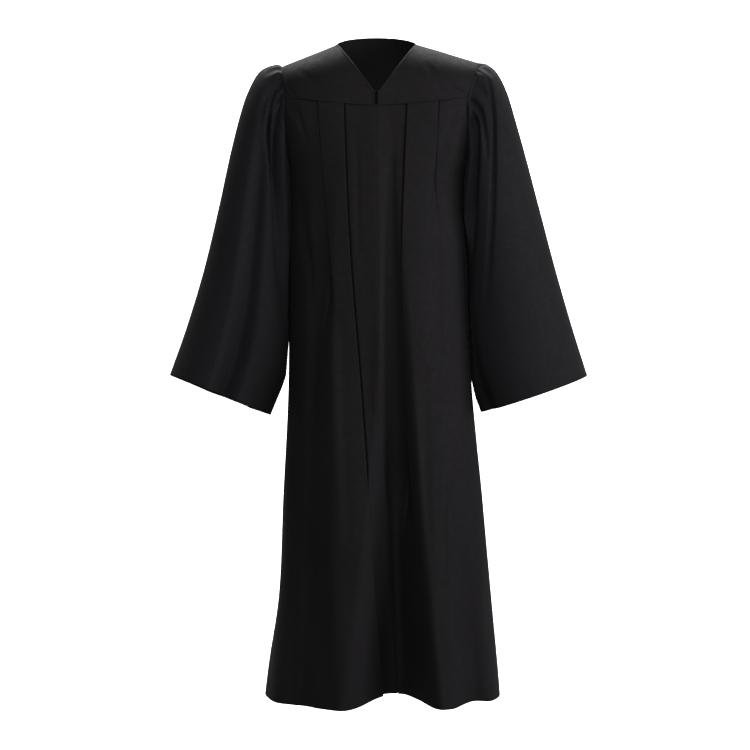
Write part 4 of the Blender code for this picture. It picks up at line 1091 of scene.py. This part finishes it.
def cloth_material(name, cloth, tint=(1.0, 1.0, 1.0), roughness=None):
    """Matte black cloth: a plain weave in relief, slubs, slow changes of dye and roughness, and a soft sheen."""
    material, maker, shader = new_material(name)
    places = maker.add("ShaderNodeTexCoord").outputs
    weave = use_group(maker, "Plain weave", weave_group, Place=places["UV"], Pitch=cloth.weave_pitch, Slub=0.45)
    uneven = use_group(maker, "Unevenness", unevenness_group, Place=places["Object"], Scale=8.0)
    # A tint scales the cloth's colour; a tint above one, as on the sleeves, is painted sheen.
    base = np.array(cloth.colour) * tint
    low, high = (*(base * 0.80), 1.0), (*(base * 1.22), 1.0)
    tone = maker.math("ADD", maker.math("MULTIPLY", uneven["Broad"], 0.55), maker.math("MULTIPLY", weave["Shade"], 0.35))
    maker.put(shader.inputs["Base Color"], maker.mix(tone, low, high))
    centre = cloth.roughness if roughness is None else roughness
    maker.put(shader.inputs["Roughness"], maker.spread(uneven["Fine"], 0.0, 1.0, centre - 0.06, centre + 0.06))
    relief = maker.math("ADD", weave["Height"], maker.math("MULTIPLY", uneven["Fine"], 0.6))
    bump = maker.add("ShaderNodeBump")
    bump.inputs["Strength"].default_value = 0.35
    bump.inputs["Distance"].default_value = 0.00012
    maker.put(bump.inputs["Height"], relief)
    maker.put(shader.inputs["Normal"], bump.outputs[0])
    shader.inputs["Sheen Weight"].default_value = cloth.sheen
    shader.inputs["Sheen Roughness"].default_value = 0.45
    shader.inputs["Sheen Tint"].default_value = (0.62, 0.62, 0.66, 1.0)
    shader.inputs["Specular IOR Level"].default_value = 0.14
    return material


def thread_material(cloth):
    """Black spun thread: fine twisted streaks along Object coordinates, a little shinier than the cloth."""
    material, maker, shader = new_material("thread_black")
    places = maker.add("ShaderNodeTexCoord").outputs
    twist = maker.noise(places["Object"], 2600.0, 2.0)
    base = np.array(cloth.colour)
    maker.put(shader.inputs["Base Color"], maker.mix(twist, (*(base * 0.6), 1.0), (*(base * 1.1), 1.0)))
    maker.put(shader.inputs["Roughness"], maker.spread(twist, 0.3, 0.7, 0.56, 0.70))
    bump = maker.add("ShaderNodeBump")
    bump.inputs["Strength"].default_value = 0.4
    bump.inputs["Distance"].default_value = 0.0001
    maker.put(bump.inputs["Height"], twist)
    maker.put(shader.inputs["Normal"], bump.outputs[0])
    shader.inputs["Specular IOR Level"].default_value = 0.25
    return material


def enamel_material(zip_cut):
    """Black enamel over a zinc casting: fine orange-peel relief and worn, slightly brighter patches, all darkened well
    below the enamel's own colour as painted shade in the V.
    """
    material, maker, shader = new_material("zip_enamel")
    places = maker.add("ShaderNodeTexCoord").outputs
    uneven = use_group(maker, "Unevenness", unevenness_group, Place=places["Object"], Scale=160.0)
    base = np.array(zip_cut.enamel)
    # A fifth to three tenths of the enamel colour: its own black, darkened further as painted shade in the V.
    maker.put(shader.inputs["Base Color"], maker.mix(uneven["Fine"], (*(base * 0.2), 1.0), (*(base * 0.3), 1.0)))
    maker.put(shader.inputs["Roughness"], maker.spread(uneven["Broad"], 0.0, 1.0, 0.70, 0.82))
    bump = maker.add("ShaderNodeBump")
    bump.inputs["Strength"].default_value = 0.25
    bump.inputs["Distance"].default_value = 0.00005
    maker.put(bump.inputs["Height"], uneven["Fine"])
    maker.put(shader.inputs["Normal"], bump.outputs[0])
    shader.inputs["Specular IOR Level"].default_value = 0.05
    return material


def coil_material(zip_cut):
    """Moulded nylon coil: near black, half gloss, with faint drawing lines."""
    material, maker, shader = new_material("zip_coil")
    places = maker.add("ShaderNodeTexCoord").outputs
    lines = maker.noise(maker.vector("MULTIPLY", places["Object"], (3000.0, 3000.0, 400.0)), 1.0, 2.0)
    base = np.array(zip_cut.enamel)
    maker.put(shader.inputs["Base Color"], maker.mix(lines, (*(base * 0.8), 1.0), (*(base * 1.5), 1.0)))
    maker.put(shader.inputs["Roughness"], maker.spread(lines, 0.3, 0.7, 0.34, 0.46))
    return material


def backdrop_material(stage):
    """Pale matt paper with a barely visible grain."""
    material, maker, shader = new_material("backdrop_paper")
    places = maker.add("ShaderNodeTexCoord").outputs
    grain = maker.noise(places["Object"], 140.0, 3.0)
    base = np.array(stage.paper)
    maker.put(shader.inputs["Base Color"], maker.mix(grain, (*(base * 0.985), 1.0), (*base, 1.0)))
    shader.inputs["Roughness"].default_value = 0.95
    return material


class GownCloth(bpy.types.PropertyGroup):
    """The cloth and how its edges are turned."""

    wall: FloatProperty(name="Cloth thickness", description="Thickness of single cloth", default=0.0009, unit="LENGTH")
    yoke_wall: FloatProperty(name="Yoke thickness", description="Thickness of the yokes", default=0.0011, unit="LENGTH")
    neck_roll: FloatProperty(
        name="Neck roll", description="Extra half thickness of the rolled neck edge", default=0.0005, unit="LENGTH"
    )
    neck_reach: FloatProperty(name="Neck roll reach", description="Half width of the roll", default=0.0017, unit="LENGTH")
    hem_turn: FloatProperty(name="Hem turn", description="How far the hem is turned up", default=0.028, unit="LENGTH")
    hem_swell: FloatProperty(name="Hem swell", description="Extra thickness of the turned hem, as a share", default=0.9)
    allowance: FloatProperty(name="Seam allowance", description="Cloth turned in at a seam", default=0.005, unit="LENGTH")
    armhole_allowance: FloatProperty(
        name="Armhole allowance", description="Cloth turned in at an armhole", default=0.0008, unit="LENGTH"
    )
    flange: FloatProperty(name="Flange", description="Sleeve's cloth inside the armhole", default=0.0070, unit="LENGTH")
    weave_pitch: FloatProperty(name="Weave pitch", description="Distance between threads", default=0.0005, unit="LENGTH")
    colour: FloatVectorProperty(
        name="Cloth colour", description="Base colour of the cloth", subtype="COLOR", default=(0.0125, 0.0117, 0.0120)
    )
    roughness: FloatProperty(name="Roughness", description="Roughness of the cloth", default=0.74, min=0.3, max=0.9)
    sheen: FloatProperty(name="Sheen", description="Strength of the cloth's soft sheen", default=0.03, min=0, max=1)


class GownSewing(bpy.types.PropertyGroup):
    """The machine stitches."""

    pitch: FloatProperty(name="Stitch pitch", description="Distance between stitches", default=0.0032, unit="LENGTH")
    length: FloatProperty(name="Stitch length", description="Length of a stitch that shows", default=0.0025, unit="LENGTH")
    thread: FloatProperty(name="Thread", description="Thickness of the thread", default=0.0004, unit="LENGTH")
    neck_inset: FloatProperty(name="Neck stitching", description="Inset from the neck's edge", default=0.005, unit="LENGTH")
    zip_inset: FloatProperty(name="Zip stitching", description="Inset from the centre line", default=0.011, unit="LENGTH")


class GownZip(bpy.types.PropertyGroup):
    """The concealed zip."""

    tooth_pitch: FloatProperty(name="Tooth pitch", description="Distance between teeth", default=0.0016, unit="LENGTH")
    tooth: FloatProperty(name="Tooth thickness", description="Thickness of a coil's loop", default=0.0010, unit="LENGTH")
    tape_wall: FloatProperty(name="Tape thickness", description="Thickness of the tapes", default=0.0006, unit="LENGTH")
    enamel: FloatVectorProperty(
        name="Enamel colour", description="Colour of the slider and its pull", subtype="COLOR", default=(0.012, 0.012, 0.013)
    )


class GownStage(bpy.types.PropertyGroup):
    """The studio: backdrop, lights and camera."""

    paper: FloatVectorProperty(
        name="Paper colour", description="Colour of the floor and backdrop", subtype="COLOR", default=(0.92, 0.92, 0.92)
    )
    floor_height: FloatProperty(name="Floor height", description="Height of the floor", default=-1.75, unit="LENGTH")
    lens: FloatProperty(name="Lens", description="Focal length in millimetres", default=91.2)
    distance: FloatProperty(name="Camera distance", description="Camera to the gown", default=3.8, unit="LENGTH")
    eye: FloatProperty(name="Camera height", description="Height of the camera", default=-0.568, unit="LENGTH")
    tilt: FloatProperty(name="Camera tilt", description="How far the camera looks down", default=0.0237, subtype="ANGLE")
    key_power: FloatProperty(name="Key power", description="Light from the right, in watts", default=36.0)
    right_power: FloatProperty(name="Right power", description="Light from the front right, in watts", default=27.0)
    front_power: FloatProperty(name="Front power", description="Light above the camera, in watts", default=45.0)
    left_power: FloatProperty(name="Left power", description="Light from the front left, in watts", default=3.5)
    wash_power: FloatProperty(name="Wash power", description="Light on the backdrop, in watts", default=560.0)
    air: FloatProperty(name="Air", description="Strength of the even light from all round", default=0.12)
    cuts: IntProperty(name="Sweep steps", description="Steps round the backdrop's bend", default=32, min=4)


def thin_foot(points):
    """Thins a yoke's wall in the last few millimetres before its foot."""
    above = np.linalg.norm(points - points[-1:], axis=-1)
    return 0.36 + 0.64 * ease(0.0, 0.008, above)


def front_yoke_grids(side, cloth):
    """A front yoke as a wall: rolled at the neck, folded at its foot, turned in at the shoulder and armhole."""
    points, normal = front_yoke_surface(side)
    from_neck = runs_of(points)
    half = cloth.yoke_wall / 2 * thin_foot(points)
    middle = points - normal * half[..., None]
    half = half + cloth.neck_roll * hollow(from_neck - cloth.neck_reach, cloth.neck_reach)
    grids = (middle, normal, half)
    grids = at_edge("start", fold_edge, grids)
    grids = at_edge("foot", fold_edge, grids)
    grids = at_edge("end", turn_in, grids, cloth.armhole_allowance)
    return at_edge("top", turn_in, grids, cloth.allowance)


def back_yoke_grids(cloth):
    """The back yoke as a wall: rolled round the nape, turned in at the shoulders and armholes, folded at its foot."""
    points, normal = back_yoke_surface()
    from_top = runs_of(points.swapaxes(0, 1)).swapaxes(0, 1)
    column_at = np.arange(points.shape[1])
    last = NECK_FROM + NECK_COLUMNS - 1
    at_neck = ease(NECK_FROM - 0.5, NECK_FROM + 1, column_at) * (1 - ease(last - 1, last + 0.5, column_at))
    half = cloth.yoke_wall / 2 * thin_foot(points)
    middle = points - normal * half[..., None]
    half = half + cloth.neck_roll * hollow(from_top - cloth.neck_reach, cloth.neck_reach) * at_neck
    grids = (middle, normal, half)
    grids = at_edge("foot", fold_edge, grids)
    grids = at_edge("top", fold_edge, grids)
    allowance = np.where(np.arange(len(grids[0]))[:, None] < 5, cloth.allowance, cloth.armhole_allowance)
    grids = at_edge("start", turn_in, grids, allowance)
    return at_edge("end", turn_in, grids, allowance)


def front_grids(side, cloth):
    points, away = front_surface(side)
    return panel_grids(points, np.array([0, -1, 0]), away, cloth)


def back_grids(cloth):
    points, away = back_surface()
    return panel_grids(points, np.array([0, 1, 0]), away, cloth)


def sleeve_grids(side, cloth):
    """A sleeve as a wall: turned in at the armhole, and folded up at the cuff."""
    points = sleeve_surface(side)
    normal = ring_normals(points)
    half = hem_half(points, cloth)
    grids = at_edge("top", flange_edge, (points - normal * half[..., None], normal, half), cloth.flange)
    return at_edge("foot", fold_edge, grids)


def hang(name, grids, material, around=False):
    """A cloth piece over its node."""
    piece = wall(name + "_cloth", *grids, around=around)
    finish_piece(piece, material, nodes=[name])


class GOWN_OT_yokes(bpy.types.Operator):
    """Makes the three yokes with their rolled neck edges"""

    bl_idname = "gown.yokes"
    bl_label = "Make the yokes"

    def execute(self, context):
        cloth = context.scene.gown_cloth
        material = cloth_material("gown_yoke_cloth", cloth)
        for side in (RIGHT, LEFT):
            name = f"front_yoke_{SIDE_NAMES[side]}"
            hang(name, front_yoke_grids(side, cloth), material)
        hang("back_yoke", back_yoke_grids(cloth), material)
        return {"FINISHED"}


class GOWN_OT_fronts(bpy.types.Operator):
    """Makes the two fronts, each with a pressed box pleat"""

    bl_idname = "gown.fronts"
    bl_label = "Make the fronts"

    def execute(self, context):
        cloth = context.scene.gown_cloth
        material = cloth_material("gown_front_cloth", cloth)
        for side in (RIGHT, LEFT):
            name = f"front_{SIDE_NAMES[side]}"
            hang(name, front_grids(side, cloth), material)
        return {"FINISHED"}


class GOWN_OT_back(bpy.types.Operator):
    """Makes the fluted back"""

    bl_idname = "gown.back"
    bl_label = "Make the back"

    def execute(self, context):
        cloth = context.scene.gown_cloth
        hang("back", back_grids(cloth), cloth_material("gown_back_cloth", cloth))
        return {"FINISHED"}


class GOWN_OT_sleeves(bpy.types.Operator):
    """Makes the two bell sleeves, gathered at the head"""

    bl_idname = "gown.sleeves"
    bl_label = "Make the sleeves"

    def execute(self, context):
        cloth = context.scene.gown_cloth
        # The sleeves get a lighter, bluer copy of the cloth: painted sheen for the light on their outer sides.
        material = cloth_material("gown_sleeve_cloth", cloth, tint=(1.08, 1.14, 1.24))
        for side in (RIGHT, LEFT):
            name = f"sleeve_{SIDE_NAMES[side]}"
            hang(name, sleeve_grids(side, cloth), material, around=True)
        return {"FINISHED"}


class GOWN_OT_zip(bpy.types.Operator):
    """Makes the zip: two tapes, the closed coil, the slider and its pull"""

    bl_idname = "gown.zip"
    bl_label = "Make the zip"

    def execute(self, context):
        zip_cut = context.scene.gown_zip
        tape = cloth_material("zip_tape_cloth", context.scene.gown_cloth, tint=(0.8, 0.8, 0.8), roughness=0.78)
        for side in (RIGHT, LEFT):
            self.tape(side, zip_cut, tape)
        self.coil(zip_cut)
        enamel = enamel_material(zip_cut)
        front = -float(depth_of(FRONT, YOKE_MIDDLE[FRONT]))
        pin = np.array([0.0, front - PULL_CLEARANCE - PULL_THICK / 2, PIN_HEIGHT])
        self.slider(front + ZIP_DEPTH, pin, enamel)
        self.pull(pin, enamel)
        return {"FINISHED"}

    def tape(self, side, zip_cut, material):
        name = f"zip_tape_{SIDE_NAMES[side]}"
        offsets = TAPE_START + np.linspace(0, TAPE_WIDTH, 8)
        points, away = zip_surface(side, offsets, ZIP_DEPTH + zip_cut.tape_wall / 2, 150)
        half = np.full(points.shape[:2], zip_cut.tape_wall / 2)
        piece = wall(name + "_cloth", points, away, half)
        finish_piece(piece, material, nodes=[name])

    def coil(self, zip_cut):
        """Loops of the coil from each side in turn, over a cord on each side."""
        rows = 420
        right, away = zip_surface(RIGHT, [0.0, CHAIN_HALF], ZIP_DEPTH, rows)
        left, _ = zip_surface(LEFT, [0.0, CHAIN_HALF], ZIP_DEPTH, rows)
        middle = (right[:, 0] + left[:, 0]) / 2 - away[:, 0] * CHAIN_THICK / 2
        across = unit(left[:, 1] - right[:, 1])
        run = np.concatenate([[0], np.cumsum(np.linalg.norm(np.diff(middle, axis=0), axis=1))])
        parts = []
        for i, side in enumerate((RIGHT, LEFT)):
            where = np.arange((i + 1) * zip_cut.tooth_pitch / 2, run[-1], zip_cut.tooth_pitch)
            read = [np.stack([np.interp(where, run, v[:, k]) for k in range(3)], -1) for v in (middle, across, away[:, 0])]
            centre, over, up = read[0], unit(read[1]), unit(read[2])
            parts.append(beads(centre + over * side * CHAIN_HALF * 0.42, over, up, CHAIN_HALF * 1.15, zip_cut.tooth))
            cord = (middle + across * side * CHAIN_HALF * 0.72)[::7]
            parts.append(rod(cord, away[::7, 0], CHAIN_HALF * 0.22, sides=8))
        piece = merged("zip_chain_coil", parts)
        finish_piece(piece, coil_material(zip_cut), nodes=["zip_chain"])

    def slider(self, back, pin, material):
        """Two shield-shaped plates with a wedge between, a post through the V, and the pin across it."""
        angle = np.linspace(0, 2 * np.pi, 36, endpoint=False)
        tall, middle = (SLIDER_TOP - SLIDER_BOTTOM) / 2, (SLIDER_TOP + SLIDER_BOTTOM) / 2
        x = SLIDER_HALF * (0.86 + 0.14 * np.sin(angle)) * np.sign(np.cos(angle)) * np.abs(np.cos(angle)) ** 0.65
        z = middle + tall * np.sign(np.sin(angle)) * np.abs(np.sin(angle)) ** 0.7
        shield = np.stack([x, z], -1)
        plate_thick = SLIDER_THICK * 0.34
        wedge = np.array([0.0, middle]) + np.array([0.34, 0.40]) * (shield - [0.0, middle]) + [0.0, tall * 0.5]
        round_post = np.stack([POST_HALF * np.cos(angle[::3]), pin[2] + POST_HALF * np.sin(angle[::3])], -1)
        path = np.array([[x, pin[1], pin[2]] for x in (-PIN_HALF, -PIN_HALF * 0.3, PIN_HALF * 0.3, PIN_HALF)])
        parts = [
            plate(shield, back, back + plate_thick, 0.0002),
            plate(shield, back + SLIDER_THICK - plate_thick, back + SLIDER_THICK, 0.0002),
            plate(wedge, back + plate_thick * 0.8, back + SLIDER_THICK - plate_thick * 0.8, 0.0001),
            plate(round_post, pin[1], back + plate_thick * 0.5, 0.0001),
            rod(path, np.tile([0.0, 0.0, 1.0], (4, 1)), PIN_RADIUS),
        ]
        finish_piece(merged("zip_slider_body", parts), material, nodes=["zip_slider"])

    def pull(self, pin, material):
        """A tab with a round foot, a raised rim and two eyes on the pin, with the slider's post between them."""
        angle = np.linspace(np.pi, 2 * np.pi, 15)
        foot_z = pin[2] - PULL_LENGTH + PULL_HALF
        foot = np.stack([PULL_HALF * np.cos(angle), foot_z + PULL_HALF * np.sin(angle)], -1)
        arm_top, arm_foot = pin[2] - EAR_HOLE_RADIUS - 0.0002, pin[2] - SLOT_DEPTH
        arms = [[PULL_HALF, arm_top], [EAR_INNER, arm_top], [EAR_INNER, arm_foot]]
        arms += [[-EAR_INNER, arm_foot], [-EAR_INNER, arm_top], [-PULL_HALF, arm_top]]
        tab = np.concatenate([foot, arms])
        half = PULL_THICK / 2
        parts = [plate(tab, pin[1] - half, pin[1] + half, 0.0002)]
        for low, high in ((-PULL_HALF, -EAR_INNER), (EAR_INNER, PULL_HALF)):
            parts.append(ring_on_pin(pin, low, high, EAR_HOLE_RADIUS, EAR_RADIUS))
        finish_piece(merged("zip_pull_tab", parts), material, body=PULL_BODY, nodes=["zip_pull"])


class GOWN_OT_sewing(bpy.types.Operator):
    """Makes the machine stitches: round the neck, beside the zip, and along the hem and cuffs"""

    bl_idname = "gown.sewing"
    bl_label = "Sew the stitches"

    def execute(self, context):
        cloth, sewing = context.scene.gown_cloth, context.scene.gown_sewing
        up = cloth.hem_turn - 0.002
        neck, fronts, cuffs = [], [], []
        for side in (RIGHT, LEFT):
            points, normal = front_yoke_surface(side)
            rows = points[:, 0, 2] > V_HEIGHT + sewing.neck_inset
            neck.append(stitches(*self.line(points[rows], normal[rows], sewing.neck_inset), sewing))
            points, _ = front_surface(side)
            normal = normals_of(points, np.array([0, -1, 0]))
            fronts.append(stitches(*self.line(points.swapaxes(0, 1)[:, ::-1], normal.swapaxes(0, 1)[:, ::-1], up), sewing))
            rows = points[:, 0, 2] > ZIP_END
            fronts.append(stitches(*self.line(points[rows], normal[rows], sewing.zip_inset), sewing))
            points = sleeve_surface(side)
            normal = ring_normals(points)
            path, out = self.line(points.swapaxes(0, 1)[:, ::-1], normal.swapaxes(0, 1)[:, ::-1], up)
            path, out = np.concatenate([path, path[:1]]), np.concatenate([out, out[:1]])
            cuffs.append(stitches(path, out, sewing))
        points, normal = (grid.swapaxes(0, 1)[NECK_FROM : NECK_FROM + NECK_COLUMNS] for grid in back_yoke_surface())
        neck.append(stitches(*self.line(points, normal, sewing.neck_inset), sewing))
        points, _ = back_surface()
        normal = normals_of(points, np.array([0, 1, 0]))
        back = stitches(*self.line(points.swapaxes(0, 1)[:, ::-1], normal.swapaxes(0, 1)[:, ::-1], up), sewing)
        thread = thread_material(cloth)
        for name, rows in (("neck", neck), ("fronts", fronts), ("cuffs", cuffs), ("back", [back])):
            finish_piece(merged(f"stitches_{name}", rows), thread)
        return {"FINISHED"}

    def line(self, points, normal, inset):
        """A line on a grid at a distance along each of its rows, with the cloth's normals there."""
        runs = runs_of(points)
        where = np.full((len(points), 1), inset)
        return between(runs, points, where)[:, 0], between(runs, normal, where)[:, 0]


class GOWN_OT_stage(bpy.types.Operator):
    """Sets the backdrop, the lights and the camera"""

    bl_idname = "gown.stage"
    bl_label = "Set the stage"

    def execute(self, context):
        stage = context.scene.gown_stage
        self.backdrop(stage)
        self.lights(stage)
        self.camera(context, stage)
        context.scene.view_settings.view_transform = "Standard"
        return {"FINISHED"}

    def backdrop(self, stage):
        """A floor that bends up into a wall: straight, a quarter circle, straight."""
        front, back, bend, top, half = -3.2, 3.4, 1.4, 2.6, 5.5
        angle = np.linspace(0, np.pi / 2, stage.cuts)
        y = np.concatenate([[front], back - bend + bend * np.sin(angle), [back]])
        z = stage.floor_height + np.concatenate([[0], bend - bend * np.cos(angle), [top]])
        x = np.linspace(-half, half, 12)
        points = np.stack(np.broadcast_arrays(x[None, :], y[:, None], z[:, None]), -1)
        rows, cols = points.shape[:2]
        row, col = np.meshgrid(np.arange(rows - 1), np.arange(cols - 1), indexing="ij")
        low = row * cols + col
        faces = np.stack([low, low + 1, low + cols + 1, low + cols], -1).reshape(-1, 4)
        mesh = bpy.data.meshes.new("backdrop")
        mesh.from_pydata(points.reshape(-1, 3).tolist(), [], faces.tolist())
        mesh.shade_smooth()
        mesh.materials.append(backdrop_material(stage))
        backdrop = bpy.data.objects.new("backdrop", mesh)
        bpy.context.scene.collection.objects.link(backdrop)
        backdrop.visible_diffuse = False
        backdrop.visible_glossy = False

    def lights(self, stage):
        middle, paper = (0.0, 0.0, -0.6), (0.0, 4.0, -0.6)
        # name, place, where it points, width, height, power in watts, colour
        plan = [
            ("key", (3.3, -0.9, 0.2), middle, 1.0, 1.4, stage.key_power, (0.85, 0.80, 1.0)),
            ("right", (2.9, -2.0, 0.2), middle, 1.0, 1.4, stage.right_power, (1.0, 0.98, 0.92)),
            ("front", (0.3, -3.3, 0.9), (0.0, 0.0, -0.4), 1.6, 1.2, stage.front_power, (0.98, 0.92, 1.0)),
            ("left", (-1.8, -3.0, 0.4), middle, 1.0, 1.4, stage.left_power, (1.0, 1.0, 0.95)),
            ("wash", (0.0, 1.6, 2.4), paper, 3.4, 1.6, stage.wash_power, (1.0, 1.0, 1.0)),
        ]
        for name, place, aim, width, height, power, colour in plan:
            data = bpy.data.lights.new(name, "AREA")
            data.shape = "RECTANGLE"
            data.size, data.size_y = width, height
            data.energy = power
            data.color = colour
            light = bpy.data.objects.new(name, data)
            light.location = place
            light.rotation_euler = (Vector(aim) - Vector(place)).to_track_quat("-Z", "Y").to_euler()
            bpy.context.scene.collection.objects.link(light)
        world = bpy.data.worlds.new("studio_air")
        world.use_nodes = True
        world.node_tree.nodes["Background"].inputs["Color"].default_value = (1.0, 1.0, 1.0, 1.0)
        world.node_tree.nodes["Background"].inputs["Strength"].default_value = stage.air
        bpy.context.scene.world = world

    def camera(self, context, stage):
        data = bpy.data.cameras.new("camera")
        data.lens = stage.lens
        data.sensor_width = 36.0
        data.clip_end = 60.0
        camera = bpy.data.objects.new("camera", data)
        camera.location = (-0.003, -stage.distance, stage.eye)
        camera.rotation_euler = (np.pi / 2 - stage.tilt, 0.0, 0.0)
        bpy.context.scene.collection.objects.link(camera)
        context.scene.camera = camera


STEPS = (GOWN_OT_yokes, GOWN_OT_fronts, GOWN_OT_back, GOWN_OT_sleeves, GOWN_OT_zip, GOWN_OT_sewing, GOWN_OT_stage)


class GOWN_PT_sidebar(bpy.types.Panel):
    """Lists the sizes and the steps that make the gown"""

    bl_label = "Graduation gown"
    bl_idname = "GOWN_PT_sidebar"
    bl_space_type = "VIEW_3D"
    bl_region_type = "UI"
    bl_category = "Gown"

    def draw(self, context):
        for group in ("gown_cloth", "gown_sewing", "gown_zip", "gown_stage"):
            box = self.layout.box()
            settings = getattr(context.scene, group)
            for name in settings.__annotations__:
                box.prop(settings, name)
        for step in STEPS:
            self.layout.operator(step.bl_idname)


GROUPS = {"gown_cloth": GownCloth, "gown_sewing": GownSewing, "gown_zip": GownZip, "gown_stage": GownStage}


def register():
    for made in (*GROUPS.values(), *STEPS, GOWN_PT_sidebar):
        bpy.utils.register_class(made)
    for name, group in GROUPS.items():
        setattr(bpy.types.Scene, name, PointerProperty(type=group))


def unregister():
    for name in GROUPS:
        delattr(bpy.types.Scene, name)
    for made in (GOWN_PT_sidebar, *STEPS[::-1], *GROUPS.values()):
        bpy.utils.unregister_class(made)


def main():
    register()
    bpy.ops.gown.yokes()
    bpy.ops.gown.fronts()
    bpy.ops.gown.back()
    bpy.ops.gown.sleeves()
    bpy.ops.gown.zip()
    bpy.ops.gown.sewing()
    bpy.ops.gown.stage()


if __name__ == "__main__":
    main()
